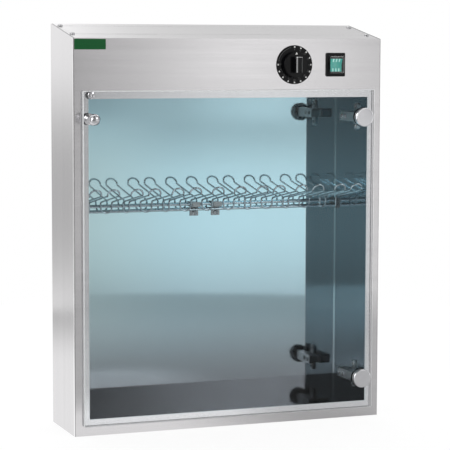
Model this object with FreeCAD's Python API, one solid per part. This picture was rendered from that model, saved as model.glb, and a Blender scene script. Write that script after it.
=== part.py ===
import FreeCAD, Part
import math
import os

V = FreeCAD.Vector

# Cabinet body, X to the right, Y towards the wall, Z up, origin at the middle of the base
BODY_WIDTH = 515.0
BODY_DEPTH = 126.0
FRONT_HEIGHT = 614.0
ROOF_RISE = 23.0
SHEET = 1.0
BACK_SHEET = 1.5
FOLD_RADIUS = 2.0
FLANGE = 12.0
FIT_GAP = 0.2
LID_GAP = 0.6

# Door opening and the chamber behind it
STILE_WIDTH = 24.0
SILL_HEIGHT = 26.0
CONTROL_HEIGHT = 92.5

# Glass door
PANE_SIDE_MARGIN = 13.5
PANE_LAP_BELOW = 11.0
PANE_LAP_ABOVE = 12.5
PANE_SHEET = 5.0
PANE_GAP = 2.0
PANE_CORNER = 2.0
PANE_BEVEL = 0.8

# Concealed hinges
HINGE_ABOVE_BOTTOM = 49.5
HINGE_BELOW_TOP = 44.7
CUP_EDGE_DISTANCE = 20.0
CUP_RADIUS = 13.0
CUP_WALL = 1.0
CUP_DEPTH = 9.5
CUP_FLANGE_RADIUS = 15.4
CUP_FLANGE_SHEET = 0.8
GASKET_SHEET = 0.4
CAP_RADIUS = 15.2
CAP_HEIGHT = 7.0
CAP_WALL = 1.0
HOLE_CLEARANCE = 0.25

# Door furniture
KNOB_BELOW_TOP = 43.0
KNOB_EDGE_DISTANCE = 10.0
KNOB_ROSE_RADIUS = 9.0
KNOB_BALL_RADIUS = 9.25
KNOB_THREAD = 12.0
KNOB_REACH = 27.0
STRIKER_EDGE_DISTANCE = 13.4
STRIKER_BELOW_TOP = 6.7
STRIKER_RADIUS = 6.0

# Timer
CONTROLS_BELOW_ROOF = 40.8
TIMER_TO_SWITCH = 71.0
DIAL_RADIUS = 30.75
DIAL_SHEET = 1.2
KNOB_SKIRT_RADIUS = 21.0
KNOB_SKIRT_HEIGHT = 8.0
KNOB_GRIP_HEIGHT = 21.0
KNOB_GRIP_WIDTH = 10.0
KNOB_GRIP_REACH = 12.5
SPINDLE_RADIUS = 3.0
SPINDLE_FLAT = 1.0
SPINDLE_CLEARANCE = 0.05
TIMER_BODY = 42.0
TIMER_BODY_DEPTH = 34.0
TIMER_SCREW_SPACING = 28.0

# Rocker switch
SWITCH_SIDE_MARGIN = 80.3
SWITCH_WIDTH = 32.7
SWITCH_HEIGHT = 37.7
BEZEL_SHEET = 3.0
BEZEL_SIDE = 6.1
BEZEL_END = 7.3
SWITCH_BODY_DEPTH = 26.0
ROCKER_TILT = 10.0

# Ultraviolet lamp above the chamber
LAMP_RADIUS = 13.0
LAMP_SIDE_MARGIN = 38.8
LAMP_TO_WALL = 31.0
LAMP_RISE = 18.5
LAMP_GLASS = 0.8
LAMP_CAP_LENGTH = 13.0
LAMP_PIN_RADIUS = 1.2
LAMP_PIN_LENGTH = 7.0
LAMP_PIN_SPACING = 12.7
HOLDER_THICKNESS = 12.0
WINDOW_SHORTER = 21.4
WINDOW_WIDTH = 38.0

# Knife rack
RACK_SHARES = (0.0845, 0.2559, 0.3891, 0.5632, 0.6955, 0.8677, 1.0)
RACK_SIDE_MARGIN = 13.5
HAIRPIN_WIDTH = 19.0
WIRE_RADIUS = 1.4
ROD_RADIUS = 2.0
ROD_TO_WALL = 11.0
RACK_BELOW_TOP = 176.0
ROD_SPACING = 8.5
WELD_GAP = 0.05
RACK_BEND_ABOVE_ROD = 7.5
RACK_FRONT_DEPTH = 11.0
RACK_RISE_ANGLE = 10.0
RACK_LOOP_ANGLE = 60.0
RACK_BEND_RADIUS = 5.0
RACK_LOOP_REACH = 11.8

# Places worked out from the sizes above
HALF_WIDTH = BODY_WIDTH / 2
FRONT = -BODY_DEPTH / 2
WALL = BODY_DEPTH / 2
INSIDE = HALF_WIDTH - SHEET
OPENING_X = HALF_WIDTH - STILE_WIDTH
OPENING_TOP = FRONT_HEIGHT - CONTROL_HEIGHT
CEILING_TOP = OPENING_TOP + SHEET
MIRROR = WALL - BACK_SHEET
PANE_BACK = FRONT - PANE_GAP
PANE_FRONT = PANE_BACK - PANE_SHEET
PANE_X = HALF_WIDTH - PANE_SIDE_MARGIN
PANE_BOTTOM = SILL_HEIGHT - PANE_LAP_BELOW
PANE_TOP = OPENING_TOP + PANE_LAP_ABOVE
HINGE_X = PANE_X - CUP_EDGE_DISTANCE
HINGE_HEIGHTS = (PANE_BOTTOM + HINGE_ABOVE_BOTTOM, PANE_TOP - HINGE_BELOW_TOP)
KNOB_X = -PANE_X + KNOB_EDGE_DISTANCE
KNOB_Z = PANE_TOP - KNOB_BELOW_TOP
STRIKER_X = -PANE_X + STRIKER_EDGE_DISTANCE
STRIKER_Z = PANE_TOP - STRIKER_BELOW_TOP
SWITCH_X = HALF_WIDTH - SWITCH_SIDE_MARGIN
TIMER_X = SWITCH_X - TIMER_TO_SWITCH
CONTROLS_Z = FRONT_HEIGHT - CONTROLS_BELOW_ROOF
LAMP_LENGTH = BODY_WIDTH - 2 * LAMP_SIDE_MARGIN
WINDOW_LENGTH = LAMP_LENGTH - WINDOW_SHORTER
RACK_CENTRES = [share * (OPENING_X - RACK_SIDE_MARGIN) for share in RACK_SHARES]
ROD_UPPER_Z = OPENING_TOP - RACK_BELOW_TOP
ROD_LOWER_Z = ROD_UPPER_Z - ROD_SPACING
RACK_BEND_Z = ROD_UPPER_Z + RACK_BEND_ABOVE_ROD
ROOF_SLOPE = math.atan2(ROOF_RISE, BODY_DEPTH)


def depth(distance):
    """Y of a plane this far behind the frame's front face."""
    return FRONT + distance


def roof(y):
    """Height of the inclined roof's outer face at a place between front and wall."""
    return FRONT_HEIGHT + (y - FRONT) * ROOF_RISE / BODY_DEPTH


def block(x0, x1, y0, y1, z0, z1):
    return Part.makeBox(x1 - x0, y1 - y0, z1 - z0, V(x0, y0, z0))


def pillar(x, y, z, radius, length, axis):
    return Part.makeCylinder(radius, length, V(x, y, z), axis)


X_AXIS = V(1, 0, 0)
Y_AXIS = V(0, 1, 0)
Z_AXIS = V(0, 0, 1)


def polygon_prism(points, direction):
    """Solid of a closed outline pushed along a vector."""
    corners = [V(*p) for p in points]
    return Part.Face(Part.makePolygon(corners + corners[:1])).extrude(direction)


def fuse_all(shapes):
    return shapes[0].multiFuse(shapes[1:]).removeSplitter()


def mirrored(shape):
    return shape.mirror(V(0, 0, 0), X_AXIS)


def turned(profile, base, axis):
    """Solid of a profile of (radius, height) points turned round an axis from a base point."""
    points = [V(r, 0, h) for r, h in profile]
    face = Part.Face(Part.makePolygon(points + points[:1]))
    solid = face.revolve(V(0, 0, 0), Z_AXIS, 360)
    solid.Placement = FreeCAD.Placement(base, FreeCAD.Rotation(Z_AXIS, axis))
    return solid


def rounded_path(vertices):
    """Wire through (point, radius) vertices, with an arc of that radius at each corner."""
    edges = []
    last = vertices[0][0]
    for i in range(1, len(vertices) - 1):
        corner, radius = vertices[i]
        back = (vertices[i - 1][0] - corner).normalize()
        ahead = (vertices[i + 1][0] - corner).normalize()
        half = back.getAngle(ahead) / 2
        reach = radius / math.tan(half)
        start = corner + back * reach
        end = corner + ahead * reach
        bisector = (back + ahead).normalize()
        middle = corner + bisector * (radius / math.sin(half) - radius)
        if start.distanceToPoint(last) > 1e-4:
            edges.append(Part.LineSegment(last, start).toShape())
        edges.append(Part.Arc(start, middle, end).toShape())
        last = end
    edges.append(Part.LineSegment(last, vertices[-1][0]).toShape())
    return Part.Wire(edges)


def along(path, radius):
    """Round wire or rod of a radius swept along a path."""
    first = path.Edges[0]
    start = first.valueAt(first.FirstParameter)
    heading = first.tangentAt(first.FirstParameter)
    ring = Part.Wire(Part.makeCircle(radius, start, heading))
    return path.makePipeShell([ring], True, True)


def roof_slab(top_drop, bottom_drop, y0, y1, x):
    """Slab parallel to the roof between two depths under it, x wide each side."""
    lift = 1 / math.cos(ROOF_SLOPE)
    outline = [(-x, y0, roof(y0) - bottom_drop * lift), (-x, y1, roof(y1) - bottom_drop * lift),
               (-x, y1, roof(y1) - top_drop * lift), (-x, y0, roof(y0) - top_drop * lift)]
    return polygon_prism(outline, V(2 * x, 0, 0))


def countersunk_screw(point, direction, head_radius, sheet, shank_radius, length):
    """Flat screw whose head ends flush at the point, with the shank along the direction."""
    profile = [(0, 0), (head_radius, 0), (shank_radius, sheet), (shank_radius, length), (0, length)]
    return turned(profile, point, direction)


def pan_screw(point, direction, head_radius, head_height, shank_radius, length):
    """Screw whose head stands against the direction from the point, with a rounded rim."""
    rim = head_height * 0.45
    profile = [(0, -head_height), (head_radius * 0.6, -head_height), (head_radius, -rim),
               (head_radius, 0), (shank_radius, 0), (shank_radius, length), (0, length)]
    return turned(profile, point, direction)


# Sheet metal body
SCREW_RADIUS = 2.0
SCREW_CLEARANCE = 0.1
SCREW_HEAD_RADIUS = 4.0
SCREW_LENGTH = 8.0
COVER_SCREW_INSET = 9.5
COVER_SCREW_X = HALF_WIDTH - COVER_SCREW_INSET
COVER_SCREW_FRONT = 35.0
COVER_SCREW_REAR = 21.0
COVER_SCREW_DEPTHS = (COVER_SCREW_FRONT, BODY_DEPTH - COVER_SCREW_REAR)
BACK_SCREW_BOTTOM = 60.0
BACK_SCREW_TOP = 24.0
BACK_SCREW_HEIGHTS = (BACK_SCREW_BOTTOM, (BACK_SCREW_BOTTOM + FRONT_HEIGHT - BACK_SCREW_TOP) / 2,
                      FRONT_HEIGHT - BACK_SCREW_TOP)
BOTTOM_SCREW_INSET = 15.0
BOTTOM_SCREW_DEPTHS = (BOTTOM_SCREW_INSET, BODY_DEPTH - BOTTOM_SCREW_INSET)
RIM_SCREW_X = INSIDE - FLANGE / 2


def cover_screw_places():
    places = []
    for x in (-COVER_SCREW_X, COVER_SCREW_X):
        for d in COVER_SCREW_DEPTHS:
            places.append(V(x, depth(d), roof(depth(d))))
    return places


ROOF_NORMAL = V(0, -math.sin(ROOF_SLOPE), math.cos(ROOF_SLOPE))


def roof_holes(radius):
    reach = 4 * SHEET
    return [Part.makeCylinder(radius, 2 * reach, p - ROOF_NORMAL * reach, ROOF_NORMAL)
            for p in cover_screw_places()]


def back_screw_places():
    return [V(x, WALL, z) for x in (-RIM_SCREW_X, RIM_SCREW_X) for z in BACK_SCREW_HEIGHTS]


def bottom_screw_places():
    return [V(x, depth(d), 0) for x in (-RIM_SCREW_X, RIM_SCREW_X) for d in BOTTOM_SCREW_DEPTHS]


def body_shell():
    """Two side channels, each a side wall folded with its stile and flanges, and between them the header
    and the sill, welded flush at the opening's sides."""
    side = [(-HALF_WIDTH, FRONT, 0), (-HALF_WIDTH, WALL, 0),
            (-HALF_WIDTH, WALL, roof(WALL)), (-HALF_WIDTH, FRONT, roof(FRONT))]
    outer = polygon_prism(side, V(BODY_WIDTH, 0, 0))
    upright = [e for e in outer.Edges if abs(e.CenterOfMass.y - FRONT) < 0.01
               and abs(abs(e.CenterOfMass.x) - HALF_WIDTH) < 0.01]
    outer = outer.makeFillet(FOLD_RADIUS, upright)
    room = block(-INSIDE, INSIDE, FRONT + SHEET, WALL + 1, -1, roof(WALL) + 1)
    corners = [e for e in room.Edges if abs(e.CenterOfMass.y - FRONT - SHEET) < 0.01
               and abs(abs(e.CenterOfMass.x) - INSIDE) < 0.01]
    room = room.makeFillet(FOLD_RADIUS - SHEET, corners)
    walls = outer.cut(room)

    top = roof_slab(SHEET, 2 * SHEET, FRONT + SHEET, MIRROR - SHEET, INSIDE)
    top = top.cut(block(-INSIDE + FLANGE, INSIDE - FLANGE, FRONT + FLANGE, WALL, 0, roof(WALL)))
    top = top.cut(Part.makeCompound(roof_holes(SCREW_RADIUS + SCREW_CLEARANCE)))
    bottom = block(-INSIDE, INSIDE, FRONT + SHEET, MIRROR - SHEET, SHEET, 2 * SHEET)
    bottom = bottom.cut(block(-INSIDE + FLANGE, INSIDE - FLANGE, FRONT + FLANGE, WALL, 0, 3 * SHEET))
    for p in bottom_screw_places():
        bottom = bottom.cut(pillar(p.x, p.y, p.z, SCREW_RADIUS + SCREW_CLEARANCE, 3 * SHEET, Z_AXIS))
    rear_top = roof(MIRROR - SHEET) - 1.5 * SHEET / math.cos(ROOF_SLOPE)
    rear = block(INSIDE - FLANGE, INSIDE, MIRROR - SHEET, MIRROR, SHEET, rear_top)
    for z in BACK_SCREW_HEIGHTS:
        rear = rear.cut(pillar(RIM_SCREW_X, WALL, z, SCREW_RADIUS + SCREW_CLEARANCE, 5 * SHEET, -Y_AXIS))
    shell = fuse_all([walls, top, bottom, rear, mirrored(rear)])

    opening = block(-OPENING_X, OPENING_X, FRONT - 1, FRONT + 2 * SHEET, SILL_HEIGHT, OPENING_TOP)
    cuts = [opening,
            pillar(TIMER_X, FRONT - 1, CONTROLS_Z, NECK_RADIUS + HOLE_CLEARANCE, 3 * SHEET, Y_AXIS),
            switch_box(HOLE_CLEARANCE, FRONT - 1, FRONT + 2 * SHEET),
            pillar(STRIKER_X, FRONT - 1, STRIKER_Z, MAGNET_RADIUS + HOLE_CLEARANCE, 3 * SHEET, Y_AXIS),
            pillar(HALF_WIDTH - 3 * SHEET, CORD_Y, CORD_Z, CORD_NECK_RADIUS + HOLE_CLEARANCE,
                   5 * SHEET, X_AXIS)]
    for x in timer_screw_xs():
        head = timer_screw(x, SCREW_CLEARANCE)
        cuts.append(head)
    whole = shell.cut(Part.makeCompound(cuts))
    seams = [-HALF_WIDTH - 1, -OPENING_X, OPENING_X, HALF_WIDTH + 1]
    zones = [block(x0 + WELD_GAP / 2, x1 - WELD_GAP / 2, FRONT - 1, WALL + 1, -1, roof(WALL) + 1)
             for x0, x1 in zip(seams, seams[1:])]
    return Part.makeCompound([solid for zone in zones for solid in whole.common(zone).Solids])


def top_cover():
    """Inclined lid that lies on the body's top flanges, turned down behind."""
    x = INSIDE - LID_GAP
    lid = roof_slab(0, SHEET, FRONT + SHEET + LID_GAP, WALL, x)
    lip = roof_slab(SHEET, FLANGE, MIRROR - SHEET - FIT_GAP, MIRROR - FIT_GAP, x - FLANGE)
    return fuse_all([lid, lip]).cut(Part.makeCompound(roof_holes(SCREW_RADIUS + SCREW_CLEARANCE)))


def cover_screws():
    return Part.makeCompound([pan_screw(p, -ROOF_NORMAL, SCREW_HEAD_RADIUS, 2.4, SCREW_RADIUS, SCREW_LENGTH)
                              for p in cover_screw_places()])


KEYHOLE_SIDE_MARGIN = 67.5
KEYHOLE_X = HALF_WIDTH - KEYHOLE_SIDE_MARGIN
KEYHOLE_BELOW_ROOF = 18.0
KEYHOLE_Z = FRONT_HEIGHT - KEYHOLE_BELOW_ROOF
KEYHOLE_ENTRY_RADIUS = 5.0
KEYHOLE_SLOT_RADIUS = 2.75
KEYHOLE_SLOT_LENGTH = 11.0


def keyhole(x):
    """Round entry with a slot above it for a wall screw."""
    reach = 3 * BACK_SHEET
    y = WALL - 2 * BACK_SHEET
    entry = pillar(x, y, KEYHOLE_Z, KEYHOLE_ENTRY_RADIUS, reach, Y_AXIS)
    seat = pillar(x, y, KEYHOLE_Z + KEYHOLE_SLOT_LENGTH, KEYHOLE_SLOT_RADIUS, reach, Y_AXIS)
    slot = block(x - KEYHOLE_SLOT_RADIUS, x + KEYHOLE_SLOT_RADIUS, y, y + reach,
                 KEYHOLE_Z, KEYHOLE_Z + KEYHOLE_SLOT_LENGTH)
    return fuse_all([entry, seat, slot])


def back_panel():
    """Mirror polished rear wall of the chamber and of the cabinet."""
    x = INSIDE - FIT_GAP
    top = roof(MIRROR) - SHEET / math.cos(ROOF_SLOPE) - FIT_GAP
    panel = block(-x, x, MIRROR, WALL, SHEET + FIT_GAP, top)
    cuts = [countersunk_screw(p, -Y_AXIS, SCREW_HEAD_RADIUS + SCREW_CLEARANCE, BACK_SHEET,
                              SCREW_RADIUS + SCREW_CLEARANCE, SCREW_LENGTH) for p in back_screw_places()]
    cuts += [keyhole(-KEYHOLE_X), keyhole(KEYHOLE_X)]
    for x in RACK_CLIP_XS:
        cuts.append(pillar(x, WALL + 1, CLIP_SCREW_Z, SCREW_RADIUS + SCREW_CLEARANCE, 4 * BACK_SHEET, -Y_AXIS))
    return panel.cut(Part.makeCompound(cuts))


def back_screws():
    return Part.makeCompound([countersunk_screw(p, -Y_AXIS, SCREW_HEAD_RADIUS, BACK_SHEET, SCREW_RADIUS,
                                                SCREW_LENGTH) for p in back_screw_places()])


def bottom_panel():
    x = INSIDE - FIT_GAP
    rear = MIRROR - FIT_GAP
    plate = block(-x, x, FRONT + SHEET + FIT_GAP, WALL, 0, SHEET)
    lip = block(-OPENING_X, OPENING_X, rear - SHEET, rear, SHEET, FLANGE)
    cuts = [countersunk_screw(p, Z_AXIS, SCREW_HEAD_RADIUS + SCREW_CLEARANCE, SHEET,
                              SCREW_RADIUS + SCREW_CLEARANCE, SCREW_LENGTH) for p in bottom_screw_places()]
    return fuse_all([plate, lip]).cut(Part.makeCompound(cuts))


def bottom_screws():
    return Part.makeCompound([countersunk_screw(p, Z_AXIS, SCREW_HEAD_RADIUS, SHEET, SCREW_RADIUS,
                                                SCREW_LENGTH) for p in bottom_screw_places()])


# Chamber lining
LINER_BOTTOM = SILL_HEIGHT - SHEET - FLANGE
LINER_REAR_FLANGE = INSIDE - FLANGE - OPENING_X - 2 * SHEET - FIT_GAP
FRONT_FLANGE = 10.0


def right_liner():
    """Polished side wall of the chamber, a channel open towards the cabinet's side."""
    x = OPENING_X
    front = FRONT + SHEET
    web = block(x, x + SHEET, front, MIRROR, LINER_BOTTOM, OPENING_TOP)
    fore = block(x + SHEET, x + SHEET + FRONT_FLANGE, front, front + SHEET, LINER_BOTTOM, OPENING_TOP)
    aft = block(x + SHEET, x + 2 * SHEET + LINER_REAR_FLANGE, MIRROR - SHEET, MIRROR,
                LINER_BOTTOM, OPENING_TOP)
    return fuse_all([web, fore, aft])


def drilled_right_liner():
    liner = right_liner()
    for p in plate_screw_places():
        liner = liner.cut(pillar(p.x, p.y, p.z, SCREW_RADIUS + SCREW_CLEARANCE, 8 * SHEET, X_AXIS))
    return liner


def chamber_floor():
    front = FRONT + SHEET
    top = block(-OPENING_X, OPENING_X, front, MIRROR, SILL_HEIGHT - SHEET, SILL_HEIGHT)
    fore = block(-OPENING_X, OPENING_X, front, front + SHEET, LINER_BOTTOM, SILL_HEIGHT - SHEET)
    aft = block(-OPENING_X, OPENING_X, MIRROR - SHEET, MIRROR, LINER_BOTTOM, SILL_HEIGHT - SHEET)
    return fuse_all([top, fore, aft])


def chamber_ceiling():
    """Tray between the chamber and the electrics, with a window under the lamp."""
    x = INSIDE - FIT_GAP
    front = FRONT + SHEET
    lip_x = STRIKER_X + MAGNET_RADIUS + 5
    tray = block(-x, x, front, MIRROR - SHEET, OPENING_TOP, CEILING_TOP)
    fore = block(lip_x, -lip_x, front, front + SHEET, CEILING_TOP, CEILING_TOP + FLANGE)
    window = block(-WINDOW_LENGTH / 2, WINDOW_LENGTH / 2, LAMP_Y - WINDOW_WIDTH / 2,
                   LAMP_Y + WINDOW_WIDTH / 2, OPENING_TOP - 1, CEILING_TOP + 1)
    return fuse_all([tray, fore]).cut(window)


# Lamp and electrics in the upper compartment
LAMP_Y = WALL - LAMP_TO_WALL
LAMP_Z = CEILING_TOP + LAMP_RISE
LAMP_END = LAMP_LENGTH / 2
HOLDER_GAP = 0.3
HOLDER_HALF = 13.5


def lamp_tube():
    x = LAMP_END - LAMP_CAP_LENGTH
    outer = pillar(-x, LAMP_Y, LAMP_Z, LAMP_RADIUS, 2 * x, X_AXIS)
    return outer.cut(pillar(-x, LAMP_Y, LAMP_Z, LAMP_RADIUS - LAMP_GLASS, 2 * x, X_AXIS))


def lamp_cap():
    rim = 1.5
    inner = LAMP_END - LAMP_CAP_LENGTH
    profile = [(0, 0), (LAMP_RADIUS, 0), (LAMP_RADIUS, LAMP_CAP_LENGTH - rim),
               (LAMP_RADIUS - rim, LAMP_CAP_LENGTH), (0, LAMP_CAP_LENGTH)]
    cap = turned(profile, V(inner, LAMP_Y, LAMP_Z), X_AXIS)
    pins = [pillar(LAMP_END - 1, LAMP_Y + side * LAMP_PIN_SPACING / 2, LAMP_Z, LAMP_PIN_RADIUS,
                   LAMP_PIN_LENGTH + 1, X_AXIS) for side in (-1, 1)]
    return fuse_all([cap] + pins)


def lamp_caps():
    cap = lamp_cap()
    return Part.makeCompound([cap, mirrored(cap)])


def lamp_holder():
    """Upright holder with an entry slot and the ring groove that the pins turn in."""
    x = LAMP_END + HOLDER_GAP
    end = x + HOLDER_THICKNESS
    groove = LAMP_PIN_LENGTH + 1
    stem = block(x, end, LAMP_Y - HOLDER_HALF, LAMP_Y + HOLDER_HALF, CEILING_TOP, LAMP_Z)
    head = pillar(x, LAMP_Y, LAMP_Z, HOLDER_HALF, HOLDER_THICKNESS, X_AXIS)
    foot = block(x, end + 8, LAMP_Y - HOLDER_HALF, LAMP_Y + HOLDER_HALF, CEILING_TOP, CEILING_TOP + 3)
    outer = LAMP_PIN_SPACING / 2 + LAMP_PIN_RADIUS + HOLDER_GAP
    inner = LAMP_PIN_SPACING / 2 - LAMP_PIN_RADIUS - HOLDER_GAP
    ring = pillar(x - 1, LAMP_Y, LAMP_Z, outer, groove + 1, X_AXIS)
    ring = ring.cut(pillar(x - 1, LAMP_Y, LAMP_Z, inner, groove + 1, X_AXIS))
    slot_half = LAMP_PIN_RADIUS + HOLDER_GAP
    slot = block(x - 1, x + groove, LAMP_Y - slot_half, LAMP_Y + slot_half,
                 LAMP_Z + inner - 1, LAMP_Z + HOLDER_HALF + 1)
    return fuse_all([stem, head, foot]).cut(fuse_all([ring, slot]))


def lamp_holders():
    holder = lamp_holder()
    return Part.makeCompound([holder, mirrored(holder)])


def reflector():
    """Trough over the tube, with a foot along each side on the ceiling tray."""
    x = LAMP_END - LAMP_CAP_LENGTH - 2
    skin = 0.8
    foot_half = WINDOW_WIDTH / 2 + 1
    top_half = 15.0
    top = LAMP_Z + LAMP_RADIUS + 7

    def trough(inset, base):
        outline = [(-x, LAMP_Y - foot_half + inset, base), (-x, LAMP_Y + foot_half - inset, base),
                   (-x, LAMP_Y + top_half - inset, top - inset), (-x, LAMP_Y - top_half + inset, top - inset)]
        return polygon_prism(outline, V(2 * x, 0, 0))

    shell = trough(0, CEILING_TOP).cut(trough(skin, CEILING_TOP))
    feet = [block(-x, x, LAMP_Y - foot_half - 7, LAMP_Y - foot_half + skin, CEILING_TOP, CEILING_TOP + skin),
            block(-x, x, LAMP_Y + foot_half - skin, LAMP_Y + foot_half + 7, CEILING_TOP, CEILING_TOP + skin)]
    return fuse_all([shell] + feet)


BALLAST_LENGTH = 150.0
BALLAST_WIDTH = 41.0
BALLAST_HEIGHT = 28.0
BALLAST_FOOT = 20.0
WINDING_PROUD = 8.0
WINDING_HALF_WIDTH = 14.0
WINDING_HEIGHT = 23.0
BALLAST_X = -70.0
GEAR_DEPTH = 34.0
GEAR_Y = depth(GEAR_DEPTH)


def ballast():
    """Choke: laminated core on a slotted base, with the winding showing at both ends."""
    z = CEILING_TOP
    base = block(BALLAST_X - BALLAST_LENGTH / 2, BALLAST_X + BALLAST_LENGTH / 2,
                 GEAR_Y - BALLAST_WIDTH / 2, GEAR_Y + BALLAST_WIDTH / 2, z, z + 1)
    half = BALLAST_LENGTH / 2 - BALLAST_FOOT
    core = block(BALLAST_X - half, BALLAST_X + half, GEAR_Y - BALLAST_WIDTH / 2 + 1,
                 GEAR_Y + BALLAST_WIDTH / 2 - 1, z + 1, z + BALLAST_HEIGHT)
    core = core.makeChamfer(2, [e for e in core.Edges if abs(e.CenterOfMass.z - z - BALLAST_HEIGHT) < 0.01
                                and e.Length > BALLAST_LENGTH / 2])
    winding = block(BALLAST_X - half - WINDING_PROUD, BALLAST_X + half + WINDING_PROUD,
                    GEAR_Y - WINDING_HALF_WIDTH, GEAR_Y + WINDING_HALF_WIDTH, z + 1, z + WINDING_HEIGHT)
    slots = []
    for side in (-1, 1):
        x = BALLAST_X + side * (BALLAST_LENGTH / 2 - 5)
        slots.append(block(x - 2.2, x + 2.2, GEAR_Y - 5, GEAR_Y + 5, z - 1, z + 2))
    return fuse_all([base, core, winding]).cut(Part.makeCompound(slots))


STARTER_RADIUS = 10.75
STARTER_LENGTH = 36.0
STARTER_SIDE_MARGIN = 71.5
STARTER_X = -INSIDE + STARTER_SIDE_MARGIN
STARTER_BASE = 12.0
STARTER_BASE_LEFT = 24.0
STARTER_BASE_RIGHT = 16.0
STARTER_BASE_HALF_WIDTH = 14.0
STARTER_SCREW_OFFSET = 18.0


def starter_holder():
    z = CEILING_TOP
    base = block(STARTER_X - STARTER_BASE_LEFT, STARTER_X + STARTER_BASE_RIGHT,
                 GEAR_Y - STARTER_BASE_HALF_WIDTH, GEAR_Y + STARTER_BASE_HALF_WIDTH, z, z + STARTER_BASE)
    well = pillar(STARTER_X, GEAR_Y, z + 4, STARTER_RADIUS + HOLE_CLEARANCE, STARTER_BASE, Z_AXIS)
    screw = pillar(STARTER_X - STARTER_SCREW_OFFSET, GEAR_Y, z - 1, 1.8, STARTER_BASE + 2, Z_AXIS)
    return base.cut(well).cut(screw)


def starter():
    rim = 2.0
    profile = [(0, 0), (STARTER_RADIUS, 0), (STARTER_RADIUS, STARTER_LENGTH - rim),
               (STARTER_RADIUS - rim, STARTER_LENGTH), (0, STARTER_LENGTH)]
    return turned(profile, V(STARTER_X, GEAR_Y, CEILING_TOP + 4), Z_AXIS)


TERMINAL_SIDE_MARGIN = 34.5
TERMINAL_X = INSIDE - TERMINAL_SIDE_MARGIN
TERMINAL_POLES = 3
TERMINAL_PITCH = 10.0
TERMINAL_HEIGHT = 13.0


def terminal_block():
    """Row of clamps, each a tower with two screw wells and a wire passage."""
    z = CEILING_TOP
    solids = []
    cuts = []
    for i in range(TERMINAL_POLES):
        y = GEAR_Y + (i - (TERMINAL_POLES - 1) / 2) * TERMINAL_PITCH
        solids.append(block(TERMINAL_X - 9, TERMINAL_X + 9, y - TERMINAL_PITCH / 2,
                            y + TERMINAL_PITCH / 2, z, z + 7))
        solids.append(block(TERMINAL_X - 7, TERMINAL_X + 7, y - TERMINAL_PITCH / 2 + 1,
                            y + TERMINAL_PITCH / 2 - 1, z, z + TERMINAL_HEIGHT))
        cuts.append(pillar(TERMINAL_X - TERMINAL_PITCH, y, z + 5, 1.8, 2 * TERMINAL_PITCH, X_AXIS))
        cuts += [pillar(TERMINAL_X + side * 4, y, z + 8, 1.9, 6, Z_AXIS) for side in (-1, 1)]
    return fuse_all(solids).cut(Part.makeCompound(cuts))


# Timer, its dial plate and knob
NECK_RADIUS = 5.0
NECK_LENGTH = 2.0
KNOB_LIFT = 0.6
KNOB_FRONT = FRONT - DIAL_SHEET - KNOB_LIFT - KNOB_GRIP_HEIGHT
SPINDLE_END = KNOB_FRONT + 3.0
SPINDLE_BEHIND_FRONT = 22.0
SPINDLE_START = FRONT + SPINDLE_BEHIND_FRONT
TIMER_SCREW_HEAD = 3.6
TIMER_TAB_OFFSET = 12.0
TAB_WIDTH = 6.3
TAB_LENGTH = 9.0
TAB_SHEET = 0.8


def timer_screw_xs():
    return [TIMER_X - TIMER_SCREW_SPACING / 2, TIMER_X + TIMER_SCREW_SPACING / 2]


def timer_screw(x, extra):
    return countersunk_screw(V(x, FRONT, CONTROLS_Z), Y_AXIS, TIMER_SCREW_HEAD + extra, SHEET,
                             1.5 + extra, SCREW_LENGTH + extra)


def timer_screws():
    return Part.makeCompound([timer_screw(x, 0) for x in timer_screw_xs()])


def timer_housing():
    """Clockwork case behind the front sheet, with a neck through it and tab terminals."""
    half = TIMER_BODY / 2
    front = FRONT + SHEET
    case = block(TIMER_X - half, TIMER_X + half, front, front + TIMER_BODY_DEPTH,
                 CONTROLS_Z - half, CONTROLS_Z + half)
    case = case.makeFillet(4, [e for e in case.Edges if abs(e.Length - TIMER_BODY_DEPTH) < 0.01])
    bell = pillar(TIMER_X, front + TIMER_BODY_DEPTH, CONTROLS_Z, half * 0.7, 6, Y_AXIS)
    neck = pillar(TIMER_X, FRONT + SHEET - NECK_LENGTH, CONTROLS_Z, NECK_RADIUS, NECK_LENGTH, Y_AXIS)
    tabs = [block(TIMER_X + dx - TAB_WIDTH / 2, TIMER_X + dx + TAB_WIDTH / 2, front + TIMER_BODY_DEPTH,
                  front + TIMER_BODY_DEPTH + TAB_LENGTH, CONTROLS_Z - half + 2, CONTROLS_Z - half + 2 + TAB_SHEET)
            for dx in (-TIMER_TAB_OFFSET, TIMER_TAB_OFFSET)]
    bore = pillar(TIMER_X, FRONT - 5, CONTROLS_Z, SPINDLE_RADIUS + SPINDLE_CLEARANCE,
                  SPINDLE_START - FRONT + 5 + HOLE_CLEARANCE, Y_AXIS)
    cuts = [bore] + [timer_screw(x, SCREW_CLEARANCE) for x in timer_screw_xs()]
    return fuse_all([case, bell, neck] + tabs).cut(Part.makeCompound(cuts))


def d_shaft(radius, start, end, flat_from):
    """Shaft along Y from start to end, with its flat towards the end."""
    shaft = pillar(TIMER_X, end, CONTROLS_Z, radius, start - end, Y_AXIS)
    flat_z = CONTROLS_Z + radius - SPINDLE_FLAT
    return shaft.cut(block(TIMER_X - radius, TIMER_X + radius, end - 1, flat_from, flat_z, CONTROLS_Z + 2 * radius))


def timer_spindle():
    return d_shaft(SPINDLE_RADIUS, SPINDLE_START, SPINDLE_END, KNOB_FRONT + KNOB_GRIP_HEIGHT - 1)


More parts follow.
